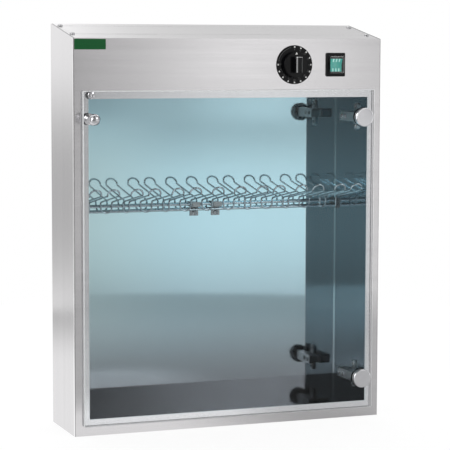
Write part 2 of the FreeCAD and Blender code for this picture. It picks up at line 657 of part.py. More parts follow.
def dial_plate():
    bevel = 0.4
    profile = [(NECK_RADIUS + HOLE_CLEARANCE, 0), (DIAL_RADIUS, 0), (DIAL_RADIUS, DIAL_SHEET - bevel),
               (DIAL_RADIUS - bevel, DIAL_SHEET), (NECK_RADIUS + HOLE_CLEARANCE, DIAL_SHEET)]
    return turned(profile, V(TIMER_X, FRONT, CONTROLS_Z), -Y_AXIS)


def timer_knob():
    """Round skirt with a tapered grip bar across it, bored for the spindle."""
    back = KNOB_FRONT + KNOB_GRIP_HEIGHT
    bevel = 1.2
    taper = 0.5
    profile = [(0, 0), (KNOB_SKIRT_RADIUS, 0), (KNOB_SKIRT_RADIUS - taper, KNOB_SKIRT_HEIGHT - bevel),
               (KNOB_SKIRT_RADIUS - taper - bevel, KNOB_SKIRT_HEIGHT), (0, KNOB_SKIRT_HEIGHT)]
    skirt = turned(profile, V(TIMER_X, back, CONTROLS_Z), -Y_AXIS)
    width = KNOB_GRIP_WIDTH / 2
    draft = 2.0
    low = CONTROLS_Z - KNOB_GRIP_REACH
    foot = back - KNOB_SKIRT_HEIGHT + 1
    grip = polygon_prism([(TIMER_X - width - draft, foot, low), (TIMER_X + width + draft, foot, low),
                          (TIMER_X + width, KNOB_FRONT, low), (TIMER_X - width, KNOB_FRONT, low)],
                         V(0, 0, 2 * KNOB_GRIP_REACH))
    rims = [e for e in grip.Edges if abs(e.CenterOfMass.y - KNOB_FRONT) < 0.01]
    grip = grip.makeChamfer(bevel, rims)
    bore = d_shaft(SPINDLE_RADIUS + SPINDLE_CLEARANCE, back + 1, SPINDLE_END - SPINDLE_CLEARANCE, back + 2)
    recess = pillar(TIMER_X, back - 1.2, CONTROLS_Z, NECK_RADIUS + 1, 2, Y_AXIS)
    return fuse_all([skirt, grip]).cut(fuse_all([bore, recess]))


# Rocker switch under its splash hood
SWITCH_WALL = 1.6
ROCKER_ROOM = 11.0
ROCKER_GAP = 0.35
HOOD_WALL = 0.9
HOOD_HEIGHT = 7.0
HOOD_SEAT = 1.0
HOOD_SEAT_GAP = 0.05
HOOD_CORNER = 2.5
HOOD_CROWN = 1.8
HOOD_HALF_WIDTH = SWITCH_WIDTH / 2 - BEZEL_SIDE + 2.5
HOOD_HALF_HEIGHT = SWITCH_HEIGHT / 2 - BEZEL_END + 2.5
ROCKER_HALF_WIDTH = SWITCH_WIDTH / 2 - BEZEL_SIDE - ROCKER_GAP
ROCKER_SWING_RADIUS = SWITCH_HEIGHT / 2 - BEZEL_END - ROCKER_GAP
ROCKER_CROWN = 4.5
ROCKER_DIP = 2.0
RIB_RADIUS = 0.6
RIB_LENGTH = 4.8
RIB_PITCH = 5.1
RIB_INSET = 1.0
ROCKER_PIVOT_Y = FRONT + 0.5
PIVOT_RADIUS = 1.5
PIVOT_REACH = 1.2


def switch_box(extra, y0, y1):
    """Part of the switch that passes through the front sheet."""
    half_x = SWITCH_WIDTH / 2 - BEZEL_SIDE + SWITCH_WALL + extra
    half_z = SWITCH_HEIGHT / 2 - BEZEL_END + SWITCH_WALL + extra
    return block(SWITCH_X - half_x, SWITCH_X + half_x, y0, y1, CONTROLS_Z - half_z, CONTROLS_Z + half_z)


def switch_housing():
    """Bezel and case in one moulding, hollow where the rocker tilts, with four tabs."""
    half_x = SWITCH_WIDTH / 2
    half_z = SWITCH_HEIGHT / 2
    bezel = block(SWITCH_X - half_x, SWITCH_X + half_x, FRONT - BEZEL_SHEET, FRONT,
                  CONTROLS_Z - half_z, CONTROLS_Z + half_z)
    bezel = bezel.makeFillet(2, [e for e in bezel.Edges if abs(e.Length - BEZEL_SHEET) < 0.01])
    bezel = bezel.makeChamfer(0.8, [e for e in bezel.Edges if abs(e.CenterOfMass.y - FRONT + BEZEL_SHEET) < 0.01])
    case = switch_box(0, FRONT - 1, FRONT + SWITCH_BODY_DEPTH)
    room = block(SWITCH_X - half_x + BEZEL_SIDE, SWITCH_X + half_x - BEZEL_SIDE, FRONT - BEZEL_SHEET - 1,
                 FRONT + ROCKER_ROOM, CONTROLS_Z - half_z + BEZEL_END, CONTROLS_Z + half_z - BEZEL_END)
    tabs = []
    for dx in (-7, 7):
        for dz in (-8, 8):
            tabs.append(block(SWITCH_X + dx - TAB_SHEET / 2, SWITCH_X + dx + TAB_SHEET / 2,
                              FRONT + SWITCH_BODY_DEPTH - 1, FRONT + SWITCH_BODY_DEPTH + TAB_LENGTH,
                              CONTROLS_Z + dz - TAB_WIDTH / 2, CONTROLS_Z + dz + TAB_WIDTH / 2))
    bearing = pillar(SWITCH_X - half_x, ROCKER_PIVOT_Y, CONTROLS_Z, PIVOT_RADIUS + SPINDLE_CLEARANCE,
                     2 * half_x, X_AXIS)
    reach = ROCKER_HALF_WIDTH + 2 * ROCKER_GAP + PIVOT_REACH
    bearing = bearing.common(block(SWITCH_X - reach, SWITCH_X + reach, FRONT - 5, FRONT + 5,
                                   CONTROLS_Z - 5, CONTROLS_Z + 5))
    return fuse_all([bezel, case] + tabs).cut(room).cut(bearing).cut(hood_seat(HOOD_SEAT_GAP))


def switch_rocker():
    """Rocker with a shallow V front, three upright ribs at each end, tilted on its pivot pins to its off side."""
    width = 2 * ROCKER_HALF_WIDTH
    half = math.sqrt(ROCKER_SWING_RADIUS ** 2 - ROCKER_CROWN ** 2)
    x0 = SWITCH_X - ROCKER_HALF_WIDTH
    y = ROCKER_PIVOT_Y
    z = CONTROLS_Z
    outline = [(x0, y - ROCKER_CROWN + ROCKER_DIP, z), (x0, y - ROCKER_CROWN, z + half),
               (x0, y - ROCKER_CROWN + 2.6, z + half - 0.4), (x0, y + 3.5, z + 4), (x0, y + 3.5, z - 4),
               (x0, y - ROCKER_CROWN + 2.6, z - half + 0.4), (x0, y - ROCKER_CROWN, z - half)]
    solids = [polygon_prism(outline, V(width, 0, 0)),
              pillar(x0 - PIVOT_REACH - ROCKER_GAP, y, z, PIVOT_RADIUS,
                     width + 2 * (PIVOT_REACH + ROCKER_GAP), X_AXIS)]
    for side in (-1, 1):
        for i in (-1, 0, 1):
            start, end = [V(SWITCH_X + i * RIB_PITCH, y - ROCKER_CROWN + ROCKER_DIP * (1 - up / half), z + side * up)
                          for up in (half - RIB_INSET, half - RIB_INSET - RIB_LENGTH)]
            solids.append(pillar(start.x, start.y, start.z, RIB_RADIUS, (end - start).Length, end - start))
    rocker = fuse_all(solids)
    rocker.rotate(V(SWITCH_X, y, z), X_AXIS, ROCKER_TILT)
    return rocker


def hood_dome(inset, y0, height):
    """Box with rounded corners whose front is rounded over."""
    base = block(SWITCH_X - HOOD_HALF_WIDTH + inset, SWITCH_X + HOOD_HALF_WIDTH - inset, y0 - height, y0,
                 CONTROLS_Z - HOOD_HALF_HEIGHT + inset, CONTROLS_Z + HOOD_HALF_HEIGHT - inset)
    base = base.makeFillet(HOOD_CORNER - inset, [e for e in base.Edges if abs(e.Length - height) < 0.01])
    crown = [e for e in base.Edges if abs(e.CenterOfMass.y - y0 + height) < 0.01]
    return base.makeFillet(HOOD_CROWN - inset, crown)


def hood_seat(extra):
    """Ring in the bezel's face that the hood's rim presses into."""
    back = FRONT - BEZEL_SHEET + HOOD_SEAT
    outer = block(SWITCH_X - HOOD_HALF_WIDTH - extra, SWITCH_X + HOOD_HALF_WIDTH + extra, back - 2, back + extra,
                  CONTROLS_Z - HOOD_HALF_HEIGHT - extra, CONTROLS_Z + HOOD_HALF_HEIGHT + extra)
    outer = outer.makeFillet(HOOD_CORNER, [e for e in outer.Edges if abs(e.Length - 2 - extra) < 0.01])
    inset = HOOD_WALL + extra
    inner = block(SWITCH_X - HOOD_HALF_WIDTH + inset, SWITCH_X + HOOD_HALF_WIDTH - inset, back - 3, back + 1,
                  CONTROLS_Z - HOOD_HALF_HEIGHT + inset, CONTROLS_Z + HOOD_HALF_HEIGHT - inset)
    inner = inner.makeFillet(HOOD_CORNER - inset, [e for e in inner.Edges if abs(e.Length - 4) < 0.01])
    return outer.cut(inner)


def splash_hood():
    """Clear cap over the rocker, pressed into the bezel's face."""
    back = FRONT - BEZEL_SHEET + HOOD_SEAT
    return hood_dome(0, back, HOOD_HEIGHT).cut(hood_dome(HOOD_WALL, back, HOOD_HEIGHT - HOOD_WALL))


# Mains cord entry in the right side wall
CORD_DEPTH = 30.0
CORD_Y = depth(CORD_DEPTH)
CORD_BELOW_ROOF = 42.0
CORD_Z = FRONT_HEIGHT - CORD_BELOW_ROOF
CORD_NECK_RADIUS = 7.5
CORD_BORE_RADIUS = 3.6
CORD_FLANGE_RADIUS = 11.0
CORD_FLANGE = 4.0
CORD_INSIDE = 12.0


def cord_bush():
    outside = HALF_WIDTH + CORD_FLANGE
    profile = [(CORD_BORE_RADIUS, 0), (CORD_FLANGE_RADIUS - 2.5, 0), (CORD_FLANGE_RADIUS, CORD_FLANGE - 1),
               (CORD_FLANGE_RADIUS, CORD_FLANGE), (CORD_NECK_RADIUS, CORD_FLANGE),
               (CORD_NECK_RADIUS, CORD_FLANGE + CORD_INSIDE), (CORD_BORE_RADIUS, CORD_FLANGE + CORD_INSIDE)]
    return turned(profile, V(outside, CORD_Y, CORD_Z), -X_AXIS)


# Door pane and what is fixed to it
STRIKER_PLATE_SHEET = 1.5
MAGNET_RADIUS = 4.3
MAGNET_LENGTH = 12.0
MAGNET_PROUD = 0.1
WAFER_SHEET = 1.4
THREAD_RADIUS = 2.0
THREAD_CLEARANCE = 0.05


def hinge_points():
    return [V(HINGE_X, 0, z) for z in HINGE_HEIGHTS]


def at_hinges(shape):
    """The same piece at each hinge, from one made round the height zero."""
    copies = []
    for p in hinge_points():
        copy = shape.copy()
        copy.translate(V(0, 0, p.z))
        copies.append(copy)
    return Part.makeCompound(copies)


def door_pane():
    pane = block(-PANE_X, PANE_X, PANE_FRONT, PANE_BACK, PANE_BOTTOM, PANE_TOP)
    pane = pane.makeFillet(PANE_CORNER, [e for e in pane.Edges if abs(e.Length - PANE_SHEET) < 0.01])
    rims = [e for e in pane.Edges if abs(e.CenterOfMass.y - PANE_FRONT) < 0.01
            or abs(e.CenterOfMass.y - PANE_BACK) < 0.01]
    pane = pane.makeChamfer(PANE_BEVEL, rims)
    reach = PANE_SHEET + 2
    holes = [pillar(p.x, PANE_FRONT - 1, p.z, CUP_RADIUS + HOLE_CLEARANCE, reach, Y_AXIS)
             for p in hinge_points()]
    holes.append(pillar(KNOB_X, PANE_FRONT - 1, KNOB_Z, THREAD_RADIUS + HOLE_CLEARANCE, reach, Y_AXIS))
    holes.append(pillar(STRIKER_X, PANE_FRONT - 1, STRIKER_Z, THREAD_RADIUS + HOLE_CLEARANCE, reach, Y_AXIS))
    return pane.cut(Part.makeCompound(holes))


CUP_BACK = PANE_BACK + GASKET_SHEET + CUP_FLANGE_SHEET
CUP_FRONT = CUP_BACK - CUP_DEPTH - CUP_FLANGE_SHEET


def hinge_cup():
    """Bowl through the glass, open to the rear, with a flange behind and cross pins."""
    length = CUP_BACK - CUP_FRONT
    inner = CUP_RADIUS - CUP_WALL
    profile = [(0, 0), (CUP_RADIUS, 0), (CUP_RADIUS, length - CUP_FLANGE_SHEET),
               (CUP_FLANGE_RADIUS, length - CUP_FLANGE_SHEET), (CUP_FLANGE_RADIUS, length),
               (inner, length), (inner, CUP_WALL), (0, CUP_WALL)]
    return turned(profile, V(HINGE_X, CUP_FRONT, 0), Y_AXIS)


def cup_gasket():
    inner = CUP_RADIUS + HOLE_CLEARANCE
    profile = [(inner, 0), (CUP_FLANGE_RADIUS, 0), (CUP_FLANGE_RADIUS, GASKET_SHEET), (inner, GASKET_SHEET)]
    return turned(profile, V(HINGE_X, PANE_BACK, 0), Y_AXIS)


def hinge_cap():
    """Round cap over the cup on the outside of the glass."""
    inner = CUP_RADIUS + HOLE_CLEARANCE
    rim = 1.6
    profile = [(inner, 0), (CAP_RADIUS, 0), (CAP_RADIUS, CAP_HEIGHT - rim),
               (CAP_RADIUS - rim * 0.3, CAP_HEIGHT - rim * 0.3), (CAP_RADIUS - rim, CAP_HEIGHT),
               (0, CAP_HEIGHT), (0, CAP_HEIGHT - CAP_WALL), (inner, CAP_HEIGHT - CAP_WALL)]
    return turned(profile, V(HINGE_X, PANE_FRONT, 0), -Y_AXIS)


def door_knob():
    """Turned knob: rose, neck and ball, threaded for the screw behind the glass."""
    ball = V(KNOB_X, PANE_FRONT - KNOB_REACH, KNOB_Z)
    rose = [(0, 0), (KNOB_ROSE_RADIUS, 0), (KNOB_ROSE_RADIUS, 1.5), (KNOB_ROSE_RADIUS - 1.5, 3),
            (5, 5), (4, 8), (4, KNOB_REACH - 5), (0, KNOB_REACH - 5)]
    stem = turned(rose, V(KNOB_X, PANE_FRONT, KNOB_Z), -Y_AXIS)
    thread = pillar(KNOB_X, PANE_FRONT - KNOB_THREAD, KNOB_Z, THREAD_RADIUS + THREAD_CLEARANCE,
                    KNOB_THREAD + 1, Y_AXIS)
    return fuse_all([stem, Part.makeSphere(KNOB_BALL_RADIUS, ball)]).cut(thread)


def rear_screw(x, z, head_radius, length):
    """Thin headed screw from the back of the glass forward."""
    profile = [(0, 0), (head_radius - 0.5, 0), (head_radius, 0.5), (head_radius, WAFER_SHEET),
               (THREAD_RADIUS, WAFER_SHEET), (THREAD_RADIUS, WAFER_SHEET + length), (0, WAFER_SHEET + length)]
    return turned(profile, V(x, PANE_BACK + WAFER_SHEET, z), -Y_AXIS)


def knob_screw():
    return rear_screw(KNOB_X, KNOB_Z, STRIKER_RADIUS, PANE_SHEET + KNOB_THREAD - 2)


def striker_screw():
    """Domed cap screw at the pane's top corner."""
    profile = [(0, 0), (STRIKER_RADIUS, 0), (STRIKER_RADIUS, 1.4), (STRIKER_RADIUS * 0.8, 2.5),
               (STRIKER_RADIUS * 0.4, 3), (0, 3)]
    cap = turned(profile, V(STRIKER_X, PANE_FRONT, STRIKER_Z), -Y_AXIS)
    shank = pillar(STRIKER_X, PANE_FRONT, STRIKER_Z, THREAD_RADIUS, PANE_SHEET + STRIKER_PLATE_SHEET / 2, Y_AXIS)
    return fuse_all([cap, shank])


def striker_plate():
    """Steel disc behind the glass that the magnet holds."""
    disc = pillar(STRIKER_X, PANE_BACK, STRIKER_Z, STRIKER_RADIUS, STRIKER_PLATE_SHEET, Y_AXIS)
    return disc.cut(pillar(STRIKER_X, PANE_BACK - 1, STRIKER_Z, THREAD_RADIUS + THREAD_CLEARANCE,
                           1 + STRIKER_PLATE_SHEET / 2 + THREAD_CLEARANCE, Y_AXIS))


def catch_magnet():
    return pillar(STRIKER_X, FRONT - MAGNET_PROUD, STRIKER_Z, MAGNET_RADIUS, MAGNET_LENGTH, Y_AXIS)


DOOR_SWITCH_LENGTH = 30.0
DOOR_SWITCH_WIDTH = 13.0
DOOR_SWITCH_HEIGHT = 11.0
DOOR_SWITCH_EAR = 8.0


def door_switch():
    """Sealed reed switch on the ceiling tray beside the catch."""
    x = STRIKER_X - MAGNET_RADIUS - 3
    y0 = FRONT + SHEET
    y1 = y0 + DOOR_SWITCH_LENGTH
    case = block(x - DOOR_SWITCH_WIDTH, x, y0, y1, CEILING_TOP, CEILING_TOP + DOOR_SWITCH_HEIGHT)
    ear = block(x - DOOR_SWITCH_WIDTH, x, y1, y1 + DOOR_SWITCH_EAR, CEILING_TOP, CEILING_TOP + 2)
    hole = pillar(x - DOOR_SWITCH_WIDTH / 2, y1 + DOOR_SWITCH_EAR / 2, CEILING_TOP - 1, 1.8, 4, Z_AXIS)
    return fuse_all([case, ear]).cut(hole)


# Knife rack and what holds it
ROD_Y = WALL - ROD_TO_WALL
WIRE_Y = ROD_Y - ROD_RADIUS - WIRE_RADIUS - WELD_GAP
ROD_END_GAP = 0.5
RACK_CLIP_XS = (-RACK_CENTRES[0], RACK_CENTRES[0])
CLIP_HALF_WIDTH = HAIRPIN_WIDTH / 2 - WIRE_RADIUS - 0.9
CLIP_SCREW_Z = ROD_LOWER_Z - 6.0
CLIP_SEAT_GAP = 0.3
END_HOOK_SHEET = 2.2


def hairpin_centres():
    return [-x for x in reversed(RACK_CENTRES)] + list(RACK_CENTRES)


def hairpin(x, left_gap, right_gap):
    """One bent wire: up past the rods, forward and up into a closed loop, and back the same way.

    A foot with a gap curls over half of it; the outermost feet have none and end straight."""
    half = HAIRPIN_WIDTH / 2
    rise = math.radians(RACK_RISE_ANGLE)
    lean = math.radians(RACK_LOOP_ANGLE)
    run = WIRE_Y - depth(RACK_FRONT_DEPTH)
    knee = V(0, WIRE_Y, RACK_BEND_Z)
    front = V(0, WIRE_Y - run, RACK_BEND_Z + run * math.tan(rise))
    loop = V(0, front.y - RACK_LOOP_REACH * math.cos(lean), front.z + RACK_LOOP_REACH * math.sin(lean))
    foot = V(0, WIRE_Y, ROD_LOWER_Z - WIRE_RADIUS)
    left = V(x - half, 0, 0)
    right = V(x + half, 0, 0)
    path = [(knee + left, RACK_BEND_RADIUS), (front + left, RACK_BEND_RADIUS),
            (loop + left, half - WELD_GAP), (loop + right, half - WELD_GAP),
            (front + right, RACK_BEND_RADIUS), (knee + right, RACK_BEND_RADIUS)]
    start = [(foot + left, left_gap - WELD_GAP), (foot + left - V(left_gap, 0, 0), 0)]
    end = [(foot + right, right_gap - WELD_GAP), (foot + right + V(right_gap, 0, 0), 0)]
    start = start if left_gap else [(foot + left, 0)]
    end = end if right_gap else [(foot + right, 0)]
    return along(rounded_path(start[::-1] + path + end), WIRE_RADIUS)


def rack_hairpins():
    """Hairpins side by side, whose feet curl towards each other and are butted under the rods."""
    half = HAIRPIN_WIDTH / 2
    centres = hairpin_centres()
    gaps = [(b - a) / 2 - half - WELD_GAP / 2 for a, b in zip(centres, centres[1:])]
    gaps = [0] + gaps + [0]
    return Part.makeCompound([hairpin(x, gaps[i], gaps[i + 1]) for i, x in enumerate(centres)])


def rack_rods():
    x = OPENING_X - ROD_END_GAP
    return Part.makeCompound([pillar(-x, ROD_Y, z, ROD_RADIUS, 2 * x, X_AXIS)
                              for z in (ROD_UPPER_Z, ROD_LOWER_Z)])


def rod_notch(x0, x1):
    """Space for the upper rod in a hook, open upwards."""
    r = ROD_RADIUS + CLIP_SEAT_GAP
    seat = pillar(x0 - 1, ROD_Y, ROD_UPPER_Z, r, x1 - x0 + 2, X_AXIS)
    mouth = block(x0 - 1, x1 + 1, ROD_Y - r, ROD_Y + r, ROD_UPPER_Z,
                  ROD_UPPER_Z + RACK_BELOW_TOP)
    return fuse_all([seat, mouth])


def rack_clips():
    """Hooks on the back panel that carry the upper rod, each screwed below it."""
    clips = []
    for x in RACK_CLIP_XS:
        x0 = x - CLIP_HALF_WIDTH
        x1 = x + CLIP_HALF_WIDTH
        lip = ROD_Y - ROD_RADIUS - CLIP_SEAT_GAP - 1.6
        plate = block(x0, x1, MIRROR - 1.5, MIRROR, CLIP_SCREW_Z - 5, ROD_UPPER_Z + 3.5)
        hook = block(x0, x1, lip, MIRROR, ROD_UPPER_Z - 4.4, ROD_UPPER_Z + 3.5)
        clip = fuse_all([plate, hook]).cut(rod_notch(x0, x1))
        clip = clip.cut(pillar(x, MIRROR + 1, CLIP_SCREW_Z, SCREW_RADIUS + SCREW_CLEARANCE, 4, -Y_AXIS))
        clips.append(clip)
    return Part.makeCompound(clips)


def clip_screws():
    """Thumb screws of the rack hooks, with their heads in the chamber."""
    return Part.makeCompound([pan_screw(V(x, MIRROR - 1.5, CLIP_SCREW_Z), Y_AXIS, 3.6, 2.2, SCREW_RADIUS, 3.0)
                              for x in RACK_CLIP_XS])


def rack_end_hooks():
    """Notched blocks on the side walls that carry the rod's ends."""
    x0 = OPENING_X - END_HOOK_SHEET
    hook = block(x0, OPENING_X, ROD_Y - 6, ROD_Y + 6, ROD_LOWER_Z - 5, ROD_UPPER_Z + 4)
    hook = hook.makeFillet(2, [e for e in hook.Edges if abs(e.Length - END_HOOK_SHEET) < 0.01
                               and e.CenterOfMass.z < ROD_UPPER_Z])
    hook = hook.cut(rod_notch(x0, OPENING_X + 1))
    under = ROD_RADIUS + CLIP_SEAT_GAP
    hook = hook.cut(pillar(x0 - 1, ROD_Y, ROD_LOWER_Z, under, 7, X_AXIS))
    return Part.makeCompound([hook, mirrored(hook)])


# Hinge plates and arms, made round height zero and copied to each hinge
PLATE_SHEET = 3.0
PLATE_WING_RADIUS = 6.0
PLATE_SCREW_SPACING = 32.0
PLATE_SCREW_DEPTH = 38.0
PLATE_SCREW_HEAD_RADIUS = 3.6
PLATE_FRONT_DEPTH = 16.0
PLATE_REAR_DEPTH = 70.0
RIB_HALF_WIDTH = 4.8
RIB_FRONT_DEPTH = 37.0
ARM_FRONT_DEPTH = 0.6
ARM_KNEE_BEHIND = 12.0
ARM_BORE_LENGTH = 12.0
ARM_REAR_DEPTH = 65.0
ARM_HALF_HEIGHT = 7.3
ARM_SHEET = 1.5
ARM_WEB_OFFSET = 19.0
ARM_WEB_X = OPENING_X - ARM_WEB_OFFSET
ARM_EDGE_X = OPENING_X - 5.5
ARM_NOSE_X = HINGE_X - 7.0
ARM_SCREW_DEPTHS = (43.0, 57.0)


def plate_screw_places():
    return [V(OPENING_X - 1, depth(PLATE_SCREW_DEPTH), z + side * PLATE_SCREW_SPACING / 2)
            for z in HINGE_HEIGHTS for side in (-1, 1)]


def mounting_plate():
    """Winged plate screwed to the side wall, with the raised rib that the arm sits on."""
    y = depth(PLATE_SCREW_DEPTH)
    x0 = OPENING_X - PLATE_SHEET
    reach = PLATE_SCREW_SPACING / 2
    spine = block(x0, OPENING_X, depth(PLATE_FRONT_DEPTH), depth(PLATE_REAR_DEPTH),
                  -PLATE_WING_RADIUS, PLATE_WING_RADIUS)
    wing = block(x0, OPENING_X, y - PLATE_WING_RADIUS, y + PLATE_WING_RADIUS, -reach, reach)
    ends = [pillar(x0, y, side * reach, PLATE_WING_RADIUS, PLATE_SHEET, X_AXIS) for side in (-1, 1)]
    rib = block(ARM_WEB_X + ARM_SHEET, x0, depth(RIB_FRONT_DEPTH), depth(ARM_REAR_DEPTH) - 1,
                -RIB_HALF_WIDTH, RIB_HALF_WIDTH)
    cuts = [pillar(x0 - 1, y, side * reach, SCREW_RADIUS + SCREW_CLEARANCE, PLATE_SHEET + 2, X_AXIS)
            for side in (-1, 1)]
    cuts += [pillar(ARM_WEB_X, depth(d), 0, SCREW_RADIUS + SCREW_CLEARANCE,
                    ARM_BORE_LENGTH, X_AXIS) for d in ARM_SCREW_DEPTHS]
    return fuse_all([spine, wing, rib] + ends).cut(Part.makeCompound(cuts))


def plate_screws():
    x = OPENING_X - PLATE_SHEET
    return Part.makeCompound([pan_screw(V(x, p.y, p.z), X_AXIS, PLATE_SCREW_HEAD_RADIUS, 2.2, SCREW_RADIUS,
                                        SCREW_LENGTH) for p in plate_screw_places()])


def hinge_arm():
    """Channel that straddles the plate's rib and narrows to a nose in the cup's mouth."""
    web = ARM_WEB_X
    nose = ARM_NOSE_X
    knee = depth(ARM_FRONT_DEPTH + ARM_KNEE_BEHIND)
    front = depth(ARM_FRONT_DEPTH)
    rear = depth(ARM_REAR_DEPTH)
    outline = [(web, rear), (web, knee), (nose, front + 1.5), (nose + 1.5, front),
               (ARM_EDGE_X - 3, front), (ARM_EDGE_X, knee), (ARM_EDGE_X, rear)]
    low = -ARM_HALF_HEIGHT
    full = polygon_prism([(x, y, low) for x, y in outline], V(0, 0, 2 * ARM_HALF_HEIGHT))
    shift = ARM_SHEET
    room = polygon_prism([(x + shift, y, low + ARM_SHEET) for x, y in outline[:4]] +
                         [(ARM_EDGE_X + 1, front, low + ARM_SHEET), (ARM_EDGE_X + 1, rear, low + ARM_SHEET)],
                         V(0, 0, 2 * (ARM_HALF_HEIGHT - ARM_SHEET)))
    rear_room = block(web + shift, ARM_EDGE_X + 1, rear - 1, rear + 1, low + ARM_SHEET, -low - ARM_SHEET)
    nose_room = block(nose + shift, ARM_EDGE_X + 1, front - 1, front + 3, low + ARM_SHEET, -low - ARM_SHEET)
    slots = []
    for d in ARM_SCREW_DEPTHS:
        slots.append(block(web - 1, web + shift + 1, depth(d) - 3, depth(d) + 3,
                           -SCREW_RADIUS - SCREW_CLEARANCE, SCREW_RADIUS + SCREW_CLEARANCE))
    return full.cut(fuse_all([room, rear_room, nose_room])).cut(Part.makeCompound(slots))


def arm_screws():
    screws = [pan_screw(V(ARM_WEB_X, depth(d), 0), X_AXIS, PLATE_SCREW_HEAD_RADIUS, 1.8, SCREW_RADIUS,
                        SCREW_LENGTH) for d in ARM_SCREW_DEPTHS]
    return at_hinges(Part.makeCompound(screws))


NODES = {
    "body_shell": body_shell,
    "top_cover": top_cover,
    "cover_screws": cover_screws,
    "back_panel": back_panel,
    "back_screws": back_screws,
    "bottom_panel": bottom_panel,
    "bottom_screws": bottom_screws,
    "left_liner": lambda: mirrored(right_liner()),
    "right_liner": drilled_right_liner,
    "chamber_floor": chamber_floor,
    "chamber_ceiling": chamber_ceiling,
    "lamp_tube": lamp_tube,
    "lamp_caps": lamp_caps,
    "lamp_holders": lamp_holders,
    "reflector": reflector,
    "ballast": ballast,
    "starter": starter,
    "starter_holder": starter_holder,
    "terminal_block": terminal_block,
    "timer_housing": timer_housing,
    "timer_screws": timer_screws,
    "timer_spindle": timer_spindle,
    "dial_plate": dial_plate,
    "timer_knob": timer_knob,
    "switch_housing": switch_housing,
    "switch_rocker": switch_rocker,
    "splash_hood": splash_hood,
    "cord_bush": cord_bush,
    "door_pane": door_pane,
    "hinge_cups": lambda: at_hinges(hinge_cup()),
    "cup_gaskets": lambda: at_hinges(cup_gasket()),
    "hinge_caps": lambda: at_hinges(hinge_cap()),
    "mounting_plates": lambda: at_hinges(mounting_plate()),
    "plate_screws": plate_screws,
    "hinge_arms": lambda: at_hinges(hinge_arm()),
    "arm_screws": arm_screws,
    "door_knob": door_knob,
    "knob_screw": knob_screw,
    "striker_screw": striker_screw,
    "striker_plate": striker_plate,
    "catch_magnet": catch_magnet,
    "door_switch": door_switch,
    "rack_hairpins": rack_hairpins,
    "rack_rods": rack_rods,
    "rack_clips": rack_clips,
    "clip_screws": clip_screws,
    "rack_end_hooks": rack_end_hooks,
}


def main():
    os.makedirs("parts", exist_ok=True)
    for node, make in NODES.items():
        make().exportStep("parts/" + node + ".step")


main()
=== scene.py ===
"""Looks of a sterilizer cabinet: a finish for every node, and finer surfaces where they are seen."""

import math

import bmesh
import bpy
import numpy as np
from mathutils import Matrix, Vector


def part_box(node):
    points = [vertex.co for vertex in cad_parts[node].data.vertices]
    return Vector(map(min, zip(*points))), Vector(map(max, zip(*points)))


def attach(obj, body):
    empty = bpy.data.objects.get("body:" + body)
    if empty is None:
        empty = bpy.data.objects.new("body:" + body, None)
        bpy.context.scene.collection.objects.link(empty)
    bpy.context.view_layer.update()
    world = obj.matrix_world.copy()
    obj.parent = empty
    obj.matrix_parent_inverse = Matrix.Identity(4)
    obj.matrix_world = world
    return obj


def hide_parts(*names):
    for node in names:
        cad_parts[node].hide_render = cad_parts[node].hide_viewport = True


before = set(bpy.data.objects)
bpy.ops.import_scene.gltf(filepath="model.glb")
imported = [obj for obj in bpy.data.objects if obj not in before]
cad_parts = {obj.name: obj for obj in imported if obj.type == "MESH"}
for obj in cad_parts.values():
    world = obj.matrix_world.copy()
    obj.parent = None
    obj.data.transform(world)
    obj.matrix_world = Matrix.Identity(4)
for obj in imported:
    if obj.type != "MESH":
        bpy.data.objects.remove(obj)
bpy.context.view_layer.update()

bl_info = {
    "name": "Sterilizer cabinet",
    "version": (1, 0, 0),
    "blender": (4, 5, 0),
    "location": "View3D > Sidebar > Cabinet",
    "description": "Finishes and fine surfaces of a sterilizer cabinet",
    "category": "Object",
}

MM = 0.001
X_AXIS = np.array([1.0, 0.0, 0.0])
Y_AXIS = np.array([0.0, 1.0, 0.0])
Z_AXIS = np.array([0.0, 0.0, 1.0])

# The cabinet's outer depth, the height of its front edge, and the roof's rise from there to the back.
DEPTH = 126 * MM
FRONT_HEIGHT = 614 * MM
ROOF_RISE = 23 * MM


def corners(node):
    """Lowest and highest corner of a node, as arrays."""
    low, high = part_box(node)
    return np.array(low), np.array(high)


def middle(node, depth=None):
    """Middle of a node's box, moved to another depth where one is given."""
    low, high = corners(node)
    centre = (low + high) / 2
    if depth is not None:
        centre[1] = depth
    return centre


def length_setting(name, description, default):
    return bpy.props.FloatProperty(name=name, description=description, default=default, min=0.00001,
                                   precision=5, subtype="DISTANCE", unit="LENGTH")


def colour_setting(name, description, default):
    return bpy.props.FloatVectorProperty(name=name, description=description, default=default, min=0, max=1,
                                         size=3, subtype="COLOR")


class CabinetSizes(bpy.types.PropertyGroup):
    """Sizes of the finer surfaces"""

    seam: length_setting("Seam", "Widest weld seam that is ground flush", 0.06 * MM)
    # The pane's bright edge is a painted highlight.
    glass_edge_highlight: length_setting("Glass edge", "Width of the pane's bright polished edge", 1.3 * MM)
    wire_radius: length_setting("Wire radius", "Radius of the rack's hairpin wire", 1.4 * MM)
    hairpin_width: length_setting("Hairpin width", "Distance between a hairpin's two legs", 19 * MM)
    rack_bend: length_setting("Rack bend", "Radius of the wire's bends", 5 * MM)
    dot_radius: length_setting("Dot radius", "Radius of the dots on the timer's dial", 1.3 * MM)
    dot_circle: length_setting("Dot circle", "Radius of the circle of dots on the dial", 28 * MM)
    figure_height: length_setting("Figure height", "Height of the figures on the dial", 2.2 * MM)
    figure_circle: length_setting("Figure circle", "Radius at which the figures stand", 23.2 * MM)
    figure_line: length_setting("Figure line", "Width of the line of a figure", 0.26 * MM)
    broken_edge: length_setting("Broken edge", "Width of the deburred edge of sheet metal", 0.45 * MM)
    plate_width: length_setting("Plate width", "Width of the bare enamel plate on the front", 50 * MM)
    plate_height: length_setting("Plate height", "Height of the bare enamel plate", 16 * MM)


